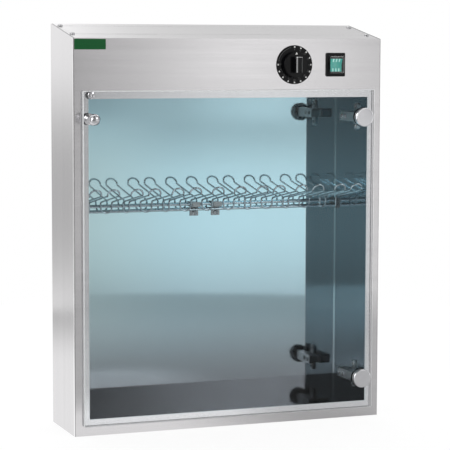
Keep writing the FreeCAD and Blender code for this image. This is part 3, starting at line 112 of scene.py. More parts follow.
class CabinetFinishes(bpy.types.PropertyGroup):
    """Colours and roughness of the finishes"""

    steel: colour_setting("Steel", "Colour of the satin steel outside", (0.62, 0.61, 0.62))
    # The lining's cold blue cast is painted lamp light.
    liner: colour_setting("Liner", "Colour of the polished chamber walls", (0.42, 0.53, 0.59))
    chamber: colour_setting("Chamber floor", "Colour of the chamber's floor and ceiling", (0.27, 0.255, 0.27))
    # The rear mirror's tones are painted: its cold top tone is lamp light and reflection, its grey bottom
    # tone shade.
    mirror_lit: colour_setting("Mirror above", "Tone of the rear mirror at its top", (0.66, 0.87, 0.93))
    mirror_shaded: colour_setting("Mirror below", "Tone of the rear mirror at its bottom", (0.27, 0.265, 0.28))
    chrome: colour_setting("Chrome", "Colour of the chromed fittings", (0.62, 0.62, 0.64))
    nickel: colour_setting("Nickel", "Colour of the hinge and clip steel", (0.88, 0.89, 0.90))
    zinc: colour_setting("Zinc", "Colour of the screws", (0.55, 0.55, 0.56))
    smoke: colour_setting("Smoke", "Colour that the smoked pane lets through", (0.84, 0.90, 0.92))
    black: colour_setting("Black plastic", "Colour of the dial, knob and bezel", (0.004, 0.004, 0.005))
    white: colour_setting("White print", "Colour of dots and figures", (0.86, 0.86, 0.84))
    rocker: colour_setting("Rocker", "Colour of the translucent rocker", (0.03, 0.42, 0.36))
    enamel: colour_setting("Enamel", "Colour of the bare plate", (0.001, 0.10, 0.022))
    wire: colour_setting("Wire", "Colour of the rack's bent wire", (0.50, 0.55, 0.58))
    backdrop: colour_setting("Backdrop", "Colour of the studio behind the cabinet", (1.0, 1.0, 1.0))
    steel_roughness: bpy.props.FloatProperty(name="Steel roughness", default=0.16, min=0, max=1,
                                             subtype="FACTOR", description="Roughness of the satin steel")


def math_method(operation, swapped=False):
    """Method that adds one Math node; swapped puts the other value first."""
    def method(self, other):
        values = (other, self) if swapped else (self, other)
        return self.nodes.add("ShaderNodeMath", {"operation": operation}, dict(enumerate(values)))
    return method


class Field:
    """A node's output that takes part in arithmetic; each operator adds one Math node."""

    __add__ = __radd__ = math_method("ADD")
    __mul__ = __rmul__ = math_method("MULTIPLY")
    __sub__ = math_method("SUBTRACT")
    __rsub__ = math_method("SUBTRACT", swapped=True)
    __truediv__ = math_method("DIVIDE")
    __pow__ = math_method("POWER")
    __gt__ = math_method("GREATER_THAN")
    __lt__ = math_method("LESS_THAN")

    def __init__(self, nodes, socket):
        self.nodes = nodes
        self.socket = socket

    def __abs__(self):
        return self.math("ABSOLUTE")

    def math(self, operation, *others):
        return self.nodes.add("ShaderNodeMath", {"operation": operation}, dict(enumerate((self,) + others)))

    def clamp(self):
        return self.nodes.add("ShaderNodeClamp", {}, {0: self})

    def between(self, low, high):
        """0 below low, 1 above high and a smooth step from one to the other."""
        return self.nodes.add("ShaderNodeMapRange", {"interpolation_type": "SMOOTHSTEP"},
                              {"Value": self, "From Min": low, "From Max": high})


class Nodes:
    """A node tree that fields are built in."""

    def __init__(self, tree):
        self.tree = tree

    def put(self, socket, value):
        """Gives a socket a constant or a link."""
        if isinstance(value, Field):
            self.tree.links.new(value.socket, socket)
        elif socket.type == "RGBA":
            socket.default_value = (*tuple(value)[:3], 1)
        else:
            socket.default_value = value

    def add(self, kind, settings, values, output=0):
        """Adds any node: its settings first, then the values or links of its sockets."""
        node = self.tree.nodes.new(kind)
        for key, value in settings.items():
            setattr(node, key, value)
        for key, value in values.items():
            self.put(node.inputs[key], value)
        return Field(self, node.outputs[output])


class Finish(Nodes):
    """A material and its nodes."""

    def __init__(self, name, **constants):
        self.material = bpy.data.materials.new(name)
        self.material.use_nodes = True
        super().__init__(self.material.node_tree)
        self.shader = self.tree.nodes["Principled BSDF"]
        self.set(**constants)

    def set(self, **values):
        """Gives sockets of the main shader a constant or a link, by name with _ for a space."""
        for key, value in values.items():
            self.put(self.shader.inputs[key.replace("_", " ")], value)

    def overlay(self, factor, shader):
        """Shows another shader over the main one, by a factor."""
        main = Field(self, self.shader.outputs[0])
        blend = self.add("ShaderNodeMixShader", {}, {0: factor, 1: main, 2: shader})
        self.put(self.tree.nodes["Material Output"].inputs["Surface"], blend)

    def place(self):
        return self.add("ShaderNodeTexCoord", {}, {}, output="Object")

    def axes(self):
        place = self.place()
        return [self.add("ShaderNodeSeparateXYZ", {}, {0: place}, output=i) for i in range(3)]

    def noise(self, scale, detail=2.0, roughness=0.5):
        """Noise from 0 to 1; scale is in periods a metre, one number or one for each axis."""
        scale = (scale,) * 3 if isinstance(scale, int) else scale
        stretched = self.add("ShaderNodeMapping", {}, {"Vector": self.place(), "Scale": scale})
        return self.add("ShaderNodeTexNoise", {},
                        {"Vector": stretched, "Scale": 1.0, "Detail": detail, "Roughness": roughness})

    def mix(self, factor, first, second):
        """Blend of two colours."""
        node = self.tree.nodes.new("ShaderNodeMix")
        node.data_type = "RGBA"
        self.put(node.inputs["Factor"], factor)
        self.put(node.inputs[6], first)
        self.put(node.inputs[7], second)
        return Field(self, node.outputs[2])

    def vary(self, factor, colour, darkest, lightest):
        """A colour that goes from one share of its tone to another."""
        return self.mix(factor, shade(colour, darkest), shade(colour, lightest))

    def bump(self, height, distance, strength=1.0):
        return self.add("ShaderNodeBump", {}, {"Height": height, "Distance": distance, "Strength": strength})


def shade(colour, factor):
    """A colour made lighter or darker."""
    return [min(1.0, c * factor) for c in colour]


def unit(vectors):
    return vectors / np.maximum(np.linalg.norm(vectors, axis=-1, keepdims=True), 1e-12)


def skin(grid, wrap=True, caps=False):
    """Points and blocks of faces over a grid: every cell is a face, wrap joins the last column to the first,
    and caps close the first and the last row with one face each."""
    rows, columns = grid.shape[:2]
    index = np.arange(rows * columns).reshape(rows, columns)
    here = index if wrap else index[:, :-1]
    beside = np.roll(index, -1, axis=1) if wrap else index[:, 1:]
    blocks = [np.stack([here[:-1], beside[:-1], beside[1:], here[1:]], axis=-1).reshape(-1, 4)]
    if caps:
        blocks += [index[:1, ::-1], index[-1:]]
    return grid.reshape(-1, 3), blocks


def gather(shells):
    """Several skins as one list of points and one of faces."""
    starts = np.cumsum([0] + [len(points) for points, _ in shells])
    points = np.concatenate([points for points, _ in shells]).tolist()
    faces = [face for start, (_, blocks) in zip(starts, shells) for block in blocks
             for face in (block + start).tolist()]
    return points, faces


def piece(name, shells, body, finish, stands_for=(), crease=35):
    """One object from shells: doubles merged, faces turned outwards, smooth below the crease angle."""
    points, faces = gather(shells)
    mesh = bpy.data.meshes.new(name)
    mesh.from_pydata(points, [], faces)
    work = bmesh.new()
    work.from_mesh(mesh)
    bmesh.ops.remove_doubles(work, verts=work.verts, dist=2e-7)
    bmesh.ops.dissolve_degenerate(work, edges=work.edges, dist=1e-8)
    bmesh.ops.recalc_face_normals(work, faces=work.faces)
    work.to_mesh(mesh)
    work.free()
    mesh.shade_smooth()
    mesh.set_sharp_from_angle(angle=math.radians(crease))
    mesh.materials.append(finish.material)
    made = bpy.data.objects.new(name, mesh)
    bpy.context.scene.collection.objects.link(made)
    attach(made, body)
    if stands_for:
        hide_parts(*stands_for)


def rounded(line, radii, steps=6):
    """Line through points with an arc in place of each inner corner, and the line's direction at every point.

    The arc's centre lies on the corner's bisector at radius over the sine of the half angle, and the points
    go round it by equal angles."""
    line = np.array(line, float)
    radii = np.broadcast_to(np.array(radii, float), (len(line) - 2,))[:, None]
    back = unit(line[:-2] - line[1:-1])
    ahead = unit(line[2:] - line[1:-1])
    half = np.arccos(np.clip((back * ahead).sum(1), -1, 1))[:, None] / 2
    start = line[1:-1] + back * radii / np.tan(half)
    centre = line[1:-1] + unit(back + ahead) * radii / np.sin(half)
    turn = (np.pi - 2 * half) * np.linspace(0, 1, steps + 1)
    outward = unit(start - centre)[:, None]
    onward = -back[:, None]
    cosine = np.cos(turn)[..., None]
    sine = np.sin(turn)[..., None]
    arcs = centre[:, None] + radii[:, None] * (cosine * outward + sine * onward)
    headings = cosine * onward - sine * outward
    size = line.shape[1]
    points = np.concatenate([line[:1], arcs.reshape(-1, size), line[-1:]])
    directions = np.concatenate([-back[:1], headings.reshape(-1, size), ahead[-1:]])
    return points, directions


def tube(points, directions, reference, radius, sides=16):
    """Round wire: a circle at each point of the line, square to it, turned by one reference direction that no
    part of the line is parallel to."""
    side = unit(reference - (directions @ reference)[:, None] * directions)
    other = np.cross(directions, side)
    angle = np.linspace(0, 2 * np.pi, sides, endpoint=False)[None, :, None]
    return points[:, None] + radius * (np.cos(angle) * side[:, None] + np.sin(angle) * other[:, None])


def cross_axes(axis):
    """Two directions square to an axis."""
    helper = X_AXIS if abs(axis[0]) < 0.9 else Z_AXIS
    first = unit(np.cross(axis, helper))
    return first, np.cross(axis, first)


def lathe(profile, base, axis, sides=64):
    """Turned surface: each (radius, height) of the profile goes once round the axis through the base."""
    profile = np.array(profile, float)
    first, second = cross_axes(axis)
    angle = np.linspace(0, 2 * np.pi, sides, endpoint=False)[:, None]
    ring = np.cos(angle) * first + np.sin(angle) * second
    return skin(base + profile[:, :1, None] * ring + profile[:, 1:, None] * axis)


def turned_profile(line, radius, steps=5):
    """Profile for lathe with its inner corners rounded."""
    return rounded(line, radius, steps)[0]


def boxy(centre, sections, corner_steps=8):
    """Surface through rounded rectangles that face the front: each section is (y, half width, half height,
    corner radius), and its outline is four quarter circles joined by straight runs."""
    sections = np.array(sections, float)
    quarter = np.linspace(0, np.pi / 2, corner_steps + 1)
    angle = (quarter[None] + np.arange(4)[:, None] * np.pi / 2).reshape(-1)
    sign_x = np.repeat([1, -1, -1, 1], corner_steps + 1)
    sign_z = np.repeat([1, 1, -1, -1], corner_steps + 1)
    y, half_x, half_z, radius = (sections[:, i:i + 1] for i in range(4))
    x = sign_x * (half_x - radius) + radius * np.cos(angle)
    z = sign_z * (half_z - radius) + radius * np.sin(angle)
    grid = np.stack([centre[0] + x, np.broadcast_to(y, x.shape), centre[2] + z], axis=-1)
    return skin(grid)


def cross_screw(seat, axis, head_radius, head_height, shank_radius, length, arm=0.62, sunk=False):
    """Screw with a cross recess. The head is a polar grid whose height is a flattened dome less the recess:
    two crossing bars with smooth flanks, deepest in the middle. Its last rows go down rim and shank."""
    axis = np.array(axis, float)
    sides = 72
    radius = np.linspace(0, 1, 26)[:, None] * head_radius
    angle = np.linspace(0, 2 * np.pi, sides, endpoint=False)[None]
    along_x = np.abs(radius * np.cos(angle)) / head_radius
    along_y = np.abs(radius * np.sin(angle)) / head_radius
    width = 0.13
    flank = 0.07

    def bar(a, b):
        return np.clip((width + flank - a) / flank, 0, 1) * np.clip((arm - b) / (2 * flank), 0, 1)

    recess = np.maximum(bar(along_x, along_y), bar(along_y, along_x))
    recess = recess * recess * (3 - 2 * recess)
    share = radius / head_radius
    crown = np.zeros_like(share) if sunk else head_height * (1 - 0.5 * share ** 4)
    depth = (0.45 if sunk else 0.6) * head_radius * (1 - 0.55 * share)
    height = crown - depth * recess
    first, second = cross_axes(axis)
    ring = np.cos(angle)[..., None] * first + np.sin(angle)[..., None] * second
    head = seat + radius[..., None] * ring + height[..., None] * axis
    if sunk:
        foot = [(shank_radius, -head_height), (shank_radius, -length), (0, -length)]
    else:
        foot = [(head_radius, 0.12 * head_height), (head_radius * 0.97, 0), (shank_radius, 0),
                (shank_radius, -length), (0, -length)]
    foot = np.array(foot)
    shank = seat + foot[:, :1, None] * ring + foot[:, 1:, None] * axis
    return skin(np.concatenate([head, shank]))


def drawn_steel(name, colour, roughness, reach, gap_shadow=False):
    """Sheet steel with a drawn grain: across the front it runs level, on the side walls upright. Fine noise
    stretched along the grain tilts the surface, and broad noise varies its tone and gloss. reach holds the
    sheet's half width and its front. Along the fold between front and side a painted highlight lies on the
    side and a painted shade line on the front; for a lid set between the side walls, the sheet's two ends are
    painted dark instead, as painted shadow of the slits beside them."""
    finish = Finish(name, Metallic=1.0, IOR=1.45)
    x, y, _ = finish.axes()
    half_width, front = reach
    shade_width = 1.6 * MM
    highlight_depth = 4 * MM
    side = (abs(x) - half_width).between(-0.7 * MM, -0.3 * MM)
    level = finish.noise((7, 260, 2600), detail=3, roughness=0.6)
    upright = finish.noise((2600, 2600, 7), detail=3, roughness=0.6)
    grain = level + side * (upright - level)
    broad_level = finish.noise((1.2, 20, 60), detail=2)
    broad_upright = finish.noise((60, 60, 1.2), detail=2)
    broad = broad_level + side * (broad_upright - broad_level)
    clouds = finish.noise(5, detail=3)
    tone = (broad * 0.6 + grain * 0.4).clamp()
    tone = finish.vary(tone, colour, 0.9, 1.12)
    if gap_shadow:
        # Painted shadow: the lid's two ends are painted dark for the shade in the slits beside the side
        # walls.
        tone = finish.mix(abs(x) > half_width - shade_width, tone, (0.10, 0.10, 0.105))
    else:
        # Painted highlight along the side walls' front fold, and a painted shade line on the front beside it.
        bright = (abs(x) > half_width - 0.2 * MM) * (y < front + highlight_depth)
        painted_shade = (abs(x) > half_width - shade_width) * (1 - bright) * (y < front + 0.4 * MM)
        tone = finish.mix(bright * 0.8, finish.mix(painted_shade * 0.6, tone, (0.14, 0.14, 0.145)), (1.0, 1.0, 1.0))
    finish.set(Base_Color=tone,
               Roughness=roughness + (grain - 0.5) * 0.16 + (clouds - 0.5) * 0.08,
               Normal=finish.bump(grain, 0.00002, 0.6))
    return finish


def polished_steel(name, colour, roughness, highlight_from=None):
    """Bright rolled sheet with faint upright streaks and slow waves of the surface. Painted shade darkens it
    towards the chamber's foot, and behind a given depth its folded edge carries a pale painted highlight."""
    finish = Finish(name, Metallic=1.0, IOR=1.45)
    _, y, z = finish.axes()
    streaks = finish.noise((160, 160, 4), detail=1)
    waves = finish.noise((7, 7, 3), detail=0)
    clouds = finish.noise(16, detail=3)
    tone = finish.vary(streaks, colour, 0.94, 1.06)
    # Painted shade: darker towards the chamber's foot, where less of the lamp's light falls.
    tone = finish.mix(z.between(0.05, 0.3), shade(colour, 0.55), tone)
    # Painted highlight on the folded front edge of the lining.
    if highlight_from is not None:
        tone = finish.mix(y > highlight_from, tone, (0.90, 0.96, 0.97))
    finish.set(Base_Color=tone, Roughness=roughness + (clouds - 0.5) * 0.03,
               Normal=finish.bump(waves, 0.00012))
    return finish


def mirror_steel(name, high, low, rear):
    """Mirror sheet: its face is painted with the lamp's cold light and with reflections, brightest in the
    middle of its height and on the left; painted shade darkens its top, most on the right, and fades it to
    grey at the bottom. Its back is plain satin steel."""
    finish = Finish(name, Metallic=1.0, IOR=1.45)
    x, y, z = finish.axes()
    face = 1 - (y > DEPTH / 2 - 1.2 * MM)
    rise = (z + finish.noise((1.5, 1.5, 3), detail=1) * 0.05).between(0.05, 0.35)
    waves = finish.noise((5, 5, 3), detail=1)
    haze = finish.noise(60, detail=4)
    across = x.between(-0.25, -0.02)
    # Painted light and shade: the middle is brightened on the left, the top darkened towards the right, and
    # below the tone fades to a painted grey shade.
    shaded_top = finish.vary(across, high, 0.98, 0.52)
    centre = finish.mix(across, shade(high, 1.25), high)
    tone = finish.mix(rise, low, finish.mix(z.between(0.36, 0.52), centre, shaded_top))
    finish.set(Base_Color=finish.mix(face, rear, tone),
               Roughness=0.16 + (haze - 0.5) * 0.03 - face * 0.11,
               Normal=finish.bump(waves, 0.00008))
    return finish


def bright_plating(name, colour, roughness):
    """Chrome or nickel: almost a mirror, with polishing marks too fine to feel."""
    finish = Finish(name, Metallic=1.0, IOR=1.45)
    marks = finish.noise((700, 700, 90), detail=3)
    patches = finish.noise(120, detail=2)
    finish.set(Base_Color=finish.vary(patches, colour, 0.94, 1.04),
               Roughness=roughness + (marks - 0.5) * 0.05,
               Normal=finish.bump(marks, 0.000004, 0.5))
    return finish


def zinc_plating(name, colour):
    """Bright zinc with a frosted, slightly mottled surface."""
    finish = Finish(name, Metallic=1.0, IOR=1.45)
    crystals = finish.add("ShaderNodeTexVoronoi", {"feature": "F1"},
                          {"Vector": finish.place(), "Scale": 1400.0})
    mottle = finish.noise(400, detail=3)
    finish.set(Base_Color=finish.vary(mottle, colour, 0.85, 1.1),
               Roughness=0.26 + (mottle - 0.5) * 0.16,
               Normal=finish.bump(crystals, 0.00001, 0.5))
    return finish


def smoked_pane(name, smoke, opening, size, edge):
    """Clear polished plate with a smoke film behind the opening and a clear border round it. A narrow band
    along its edge, on the front faces only, is a pale coated surface: a painted highlight that shows as a
    bright line."""
    low, high = opening
    finish = Finish(name, Roughness=0.0, IOR=1.2, Transmission_Weight=1.0)
    x, _, z = finish.axes()
    film = (1 - (x > high[0])) * (x > low[0]) * (z > low[2]) * (1 - (z > high[2]))
    cloud = finish.noise(3, detail=1)
    tint = finish.vary(cloud, smoke, 0.98, 1.02)
    finish.set(Base_Color=finish.mix(film, (0.97, 0.985, 0.99), tint))
    middle_x, middle_z, half_x, half_z = size
    # Painted highlight: a band of the front faces along the edge gets a pale coated shader in place of the
    # glass.
    rim = (abs(x - middle_x) > half_x - edge).math("MAXIMUM", abs(z - middle_z) > half_z - edge)
    rim = rim * (1 - finish.add("ShaderNodeNewGeometry", {}, {}, output="Backfacing"))
    ground = finish.add("ShaderNodeBsdfPrincipled", {},
                        {"Base Color": (0.93, 0.95, 0.96), "Roughness": 0.3, "Coat Weight": 0.6})
    finish.overlay(rim, ground)
    return finish


def moulded_plastic(name, colour, roughness, texture=0.5, ridge=None):
    """Moulded plastic: fine spark texture, and a little dust in the gloss. ridge gives the middle, half
    width, half height and front of a bar whose left bevel, right rim and top end carry pale painted
    highlights."""
    finish = Finish(name, IOR=1.27)
    spark = finish.noise(2600, detail=2)
    dust = finish.noise(45, detail=4)
    tone = finish.vary(dust, colour, 0.9, 1.15)
    if ridge:
        middle, half_x, half_z, front = ridge
        x, y, z = finish.axes()
        across = x - middle[0]
        along = z - middle[2]
        raised = (y < front) * (abs(along) < half_z)
        # Painted highlights on the bar's left bevel, right rim and top end.
        left = (across < -half_x * 0.56) * raised * 0.45
        right = (across > half_x * 0.80) * raised * 0.16
        top = (along > half_z * 0.92) * (y < front) * (abs(across) < half_x) * 0.5
        tone = finish.mix((left + right + top).clamp(), tone, (0.80, 0.80, 0.80))
    finish.set(Base_Color=tone, Roughness=roughness + (dust - 0.5) * 0.12,
               Normal=finish.bump(spark, 0.00002, texture))
    return finish


def clear_plastic(name, tone):
    """Clear moulding with faint flow lines."""
    finish = Finish(name, Transmission_Weight=1.0, IOR=1.42)
    flow = finish.noise((90, 90, 20), detail=1)
    finish.set(Base_Color=finish.mix(flow, shade(tone, 0.98), tone), Roughness=0.02 + flow * 0.01)
    return finish


def lit_plastic(name, colour, glow, ribs):
    """Translucent plastic, coloured through; the tops of its upright ribs carry pale painted highlights. ribs
    gives their middle, pitch, half width, and how far from the middle they start."""
    finish = Finish(name, IOR=1.49, Roughness=0.18, Transmission_Weight=0.2, Subsurface_Weight=0.2)
    finish.set(Subsurface_Scale=0.004)
    middle, pitch, half_width, start = ribs
    x, _, z = finish.axes()
    across = ((x - middle[0]) / pitch + 0.5).math("FRACT") - 0.5
    # Painted highlights on the tops of the ribs.
    pale = (1 - (abs(across) * pitch).between(half_width * 0.6, half_width * 1.4)) \
        * (abs(x - middle[0]) < 1.5 * pitch) * abs(z - middle[2]).between(start - 0.0003, start + 0.0003)
    cloud = finish.noise(160, detail=2)
    tone = finish.vary(cloud, colour, 0.85, 1.15)
    tone = finish.mix(pale, tone, (0.55, 0.90, 0.85))
    finish.set(Base_Color=tone, Emission_Color=tone, Emission_Strength=glow)
    return finish


def rubber(name, colour):
    """Matt rubber with a soft bloom."""
    finish = Finish(name, IOR=1.45)
    bloom = finish.noise(90, detail=5)
    grit = finish.noise(3000, detail=2)
    finish.set(Base_Color=finish.mix(bloom, colour, shade(colour, 1.6)), Roughness=0.72 + bloom * 0.15,
               Normal=finish.bump(grit, 0.00003, 0.5))
    return finish


def laminations(name, colour):
    """Varnished core: thin plates side by side along its length."""
    finish = Finish(name, Metallic=0.6, IOR=1.45)
    x, _, _ = finish.axes()
    plates = (x * 2000).math("FRACT").between(0.0, 0.25)
    varnish = finish.noise(70, detail=3)
    finish.set(Base_Color=finish.vary(varnish, colour, 0.7, 1.3),
               Roughness=0.35 + varnish * 0.15, Coat_Weight=0.4, Normal=finish.bump(plates, 0.00008, 0.6))
    return finish


def printed(name, colour):
    """Screen print: even paint with softly worn patches."""
    finish = Finish(name, IOR=1.45)
    wear = finish.noise(500, detail=3)
    finish.set(Base_Color=finish.mix(wear, shade(colour, 0.88), colour), Roughness=0.42 + wear * 0.1)
    return finish


def enamel(name, colour):
    """Stove enamel under a clear coat."""
    finish = Finish(name, IOR=1.3, Coat_Roughness=0.05)
    orange_peel = finish.noise(420, detail=2)
    finish.set(Base_Color=finish.vary(orange_peel, colour, 0.9, 1.1),
               Roughness=0.4, Coat_Weight=0.2, Normal=finish.bump(orange_peel, 0.00003, 0.3))
    return finish


def softening_group(reach):
    """Geometry nodes that weld what lies closer than reach and shade smooth up to a crease of 32 degrees."""
    name = f"Weld within {reach * 1e6:.0f} microns"
    if name in bpy.data.node_groups:
        return bpy.data.node_groups[name]
    group = bpy.data.node_groups.new(name, "GeometryNodeTree")
    group.interface.new_socket("Geometry", in_out="INPUT", socket_type="NodeSocketGeometry")
    group.interface.new_socket("Geometry", in_out="OUTPUT", socket_type="NodeSocketGeometry")
    chain = [group.nodes.new(kind) for kind in
             ("NodeGroupInput", "GeometryNodeRemoveAttribute", "GeometryNodeMergeByDistance",
              "GeometryNodeSetShadeSmooth", "GeometryNodeSetShadeSmooth", "NodeGroupOutput")]
    for first, second in zip(chain, chain[1:]):
        group.links.new(first.outputs[0], second.inputs[0])
    _, plain, weld, smooth, crease, _ = chain
    plain.inputs["Name"].default_value = "custom_normal"
    weld.inputs["Distance"].default_value = reach
    smooth.domain = "FACE"
    crease.domain = "EDGE"
    crease.inputs["Shade Smooth"].default_value = False
    angle = group.nodes.new("GeometryNodeInputMeshEdgeAngle")
    steep = group.nodes.new("FunctionNodeCompare")
    steep.inputs[1].default_value = math.radians(32)
    group.links.new(angle.outputs["Unsigned Angle"], steep.inputs[0])
    group.links.new(steep.outputs[0], crease.inputs["Selection"])
    return group


def dress(nodes, finish, edge=0.0, weld=1e-6):
    """Gives nodes, named in one string, their finish, welds and smooths them, and breaks their edges by a
    width."""
    for node in nodes.split():
        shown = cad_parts[node]
        shown.data.materials.clear()
        shown.data.materials.append(finish.material)
        shown.modifiers.new("Weld and smooth", "NODES").node_group = softening_group(weld)
        if edge:
            bevel = shown.modifiers.new("Broken edges", "BEVEL")
            bevel.width = edge
            bevel.segments = 2
            bevel.limit_method = "ANGLE"
            bevel.angle_limit = math.radians(40)
            bevel.use_clamp_overlap = True
            shown.modifiers.new("Flat faces stay flat", "WEIGHTED_NORMAL").keep_sharp = True


class CabinetOperator(bpy.types.Operator):
    """Step in dressing the cabinet"""

    bl_options = {"REGISTER", "UNDO"}

    def execute(self, context):
        self.work(context.scene.cabinet_sizes, context.scene.cabinet_finishes)
        return {"FINISHED"}


class CABINET_OT_sheet_metal(CabinetOperator):
    """Finish the body, cover, panels and chamber walls"""

    bl_idname = "cabinet.sheet_metal"
    bl_label = "Sheet metal"

    def work(self, sizes, colours):
        low, high = corners("body_shell")
        satin = drawn_steel("Satin steel", colours.steel, colours.steel_roughness, (high[0], low[1]))
        dress("body_shell", satin, sizes.broken_edge, sizes.seam)
        dress("bottom_panel", satin, sizes.broken_edge)
        cover_end = corners("top_cover")[1][0]
        # The cover's two ends carry painted shadow.
        cover = drawn_steel("Satin cover", colours.steel, colours.steel_roughness, (cover_end, 0), gap_shadow=True)
        dress("top_cover", cover, sizes.broken_edge)
        plain = polished_steel("Polished steel", colours.chamber, 0.05)
        dress("chamber_floor chamber_ceiling", plain)
        fold = corners("right_liner")[1][1] - 3.4 * MM
        lining = polished_steel("Polished lining", colours.liner, 0.05, highlight_from=fold)
        dress("left_liner right_liner", lining)
        mirror = mirror_steel("Mirror steel", colours.mirror_lit, colours.mirror_shaded, colours.steel)
        dress("back_panel", mirror)


class CABINET_OT_enamel_plate(CabinetOperator):
    """Put a bare enamel plate in the front's top corner"""

    bl_idname = "cabinet.enamel_plate"
    bl_label = "Enamel plate"

    def work(self, sizes, colours):
        left, front, _ = corners("body_shell")[0]
        half_x = sizes.plate_width / 2
        half_z = sizes.plate_height / 2
        corner = 1.2 * MM
        bevel = 0.3 * MM
        face = front - 0.8 * MM
        centre = np.array([left + 2.2 * MM + half_x, front, FRONT_HEIGHT - 1.2 * MM - half_z])
        sections = [(front, 0, 0, 0), (front, half_x, half_z, corner), (face + bevel, half_x, half_z, corner),
                    (face, half_x - bevel, half_z - bevel, corner - bevel), (face, 0, 0, 0)]
        piece("enamel_plate", [boxy(centre, sections)], "cabinet",
              enamel("Green enamel", colours.enamel))


class CABINET_OT_door(CabinetOperator):
    """Finish the pane and turn its knob, caps and catch screw"""

    bl_idname = "cabinet.door"
    bl_label = "Door"

    def work(self, sizes, colours):
        opening_low = corners("left_liner")[1][0], 0, corners("chamber_floor")[1][2]
        opening_high = corners("right_liner")[0][0], 0, corners("chamber_ceiling")[0][2]
        pane_low, pane_high = corners("door_pane")
        pane_middle = (pane_low + pane_high) / 2
        pane_half = (pane_high - pane_low) / 2
        pane = smoked_pane("Smoked pane", colours.smoke, (opening_low, opening_high),
                           (pane_middle[0], pane_middle[2], pane_half[0], pane_half[2]), sizes.glass_edge_highlight)
        dress("door_pane", pane)
        chrome = bright_plating("Chrome", colours.chrome, 0.07)
        front = pane_low[1]
        self.knob(chrome, front)
        self.caps(chrome, front)
        self.catch(chrome, front)
        nickel = bright_plating("Nickel inside the cups", colours.nickel, 0.16)
        dress("hinge_cups", nickel)
        dress("cup_gaskets", rubber("Gasket rubber", (0.03, 0.03, 0.03)))
        dress("knob_screw", chrome)
        dress("striker_plate", nickel)

    def knob(self, chrome, front):
        """Rose, waisted neck and ball in one turned line."""
        low, high = corners("door_knob")
        ball = (high[0] - low[0]) / 2
        reach = front - low[1] - ball
        neck = 3.9
        line = [(0, 0), (9, 0), (9, 1.9), (6.8, 3.2), (4.6, 4.6), (neck, 8), (neck, reach / MM - 8)]
        rose = turned_profile(line, [0.01, 0.7, 1.2, 1.4, 2.5], 6) * MM
        start = math.asin(neck * MM / ball)
        turn = np.linspace(start, np.pi, 40)
        sphere = np.stack([ball * np.sin(turn), reach - ball * np.cos(turn)], axis=-1)
        turned = lathe(np.concatenate([rose, sphere]), middle("door_knob", front), -Y_AXIS, 96)
        piece("door_knob_turned", [turned], "door", chrome, ["door_knob"])

    def caps(self, chrome, front):
        """Shallow round covers with a soft shoulder and a fine groove near the rim."""
        low, high = corners("hinge_caps")
        radius = (high[0] - low[0]) / 2 / MM
        height = (front - low[1]) / MM
        x = (low[0] + high[0]) / 2
        heights = (low[2] + radius * MM, high[2] - radius * MM)
        line = [(0, 0), (radius, 0), (radius, 1.2), (radius - 0.35, 1.5), (radius, 1.8),
                (radius, height - 1.2), (radius - 1.2, height), (radius - 3, height), (0, height)]
        profile = turned_profile(line, [0.05, 0.15, 0.12, 0.12, 0.9, 0.9, 0.01], 5) * MM
        shells = [lathe(profile, np.array([x, front, z]), -Y_AXIS, 96) for z in heights]
        piece("hinge_caps_turned", shells, "door", chrome, ["hinge_caps"])

    def catch(self, chrome, front):
        """Domed cap screw with a small countersunk dimple and a rolled rim."""
        low, high = corners("striker_screw")
        radius = (high[0] - low[0]) / 2 / MM
        line = [(0, -6), (2, -6), (2, 0), (radius, 0), (radius, 1.3), (radius * 0.82, 2.1), (2.4, 2.75),
                (1.5, 2.2), (0, 2.0)]
        profile = turned_profile(line, [0.05, 0.05, 0.3, 0.5, 1.2, 0.4, 0.5], 5) * MM
        turned = lathe(profile, middle("striker_screw", front), -Y_AXIS, 64)
        piece("catch_screw_turned", [turned], "door", chrome, ["striker_screw"])


# Places of the right half's hairpins, as shares of the way to the outermost one.
HAIRPIN_SHARES = np.array([0.0845, 0.2559, 0.3891, 0.5632, 0.6955, 0.8677, 1.0])
# Heights, depths and leans along one hairpin, from its rear knee to its front loop.
KNEE_HEIGHT = 353 * MM
FRONT_BEND = -52 * MM
LEG_RISE = math.tan(math.radians(10))
LOOP_LEAN = math.radians(60)
LOOP_REACH = 11.8 * MM
# A direction that no run of the wire is parallel to.
WIRE_REFERENCE = np.array([0.0, math.cos(math.radians(40)), math.sin(math.radians(40))])


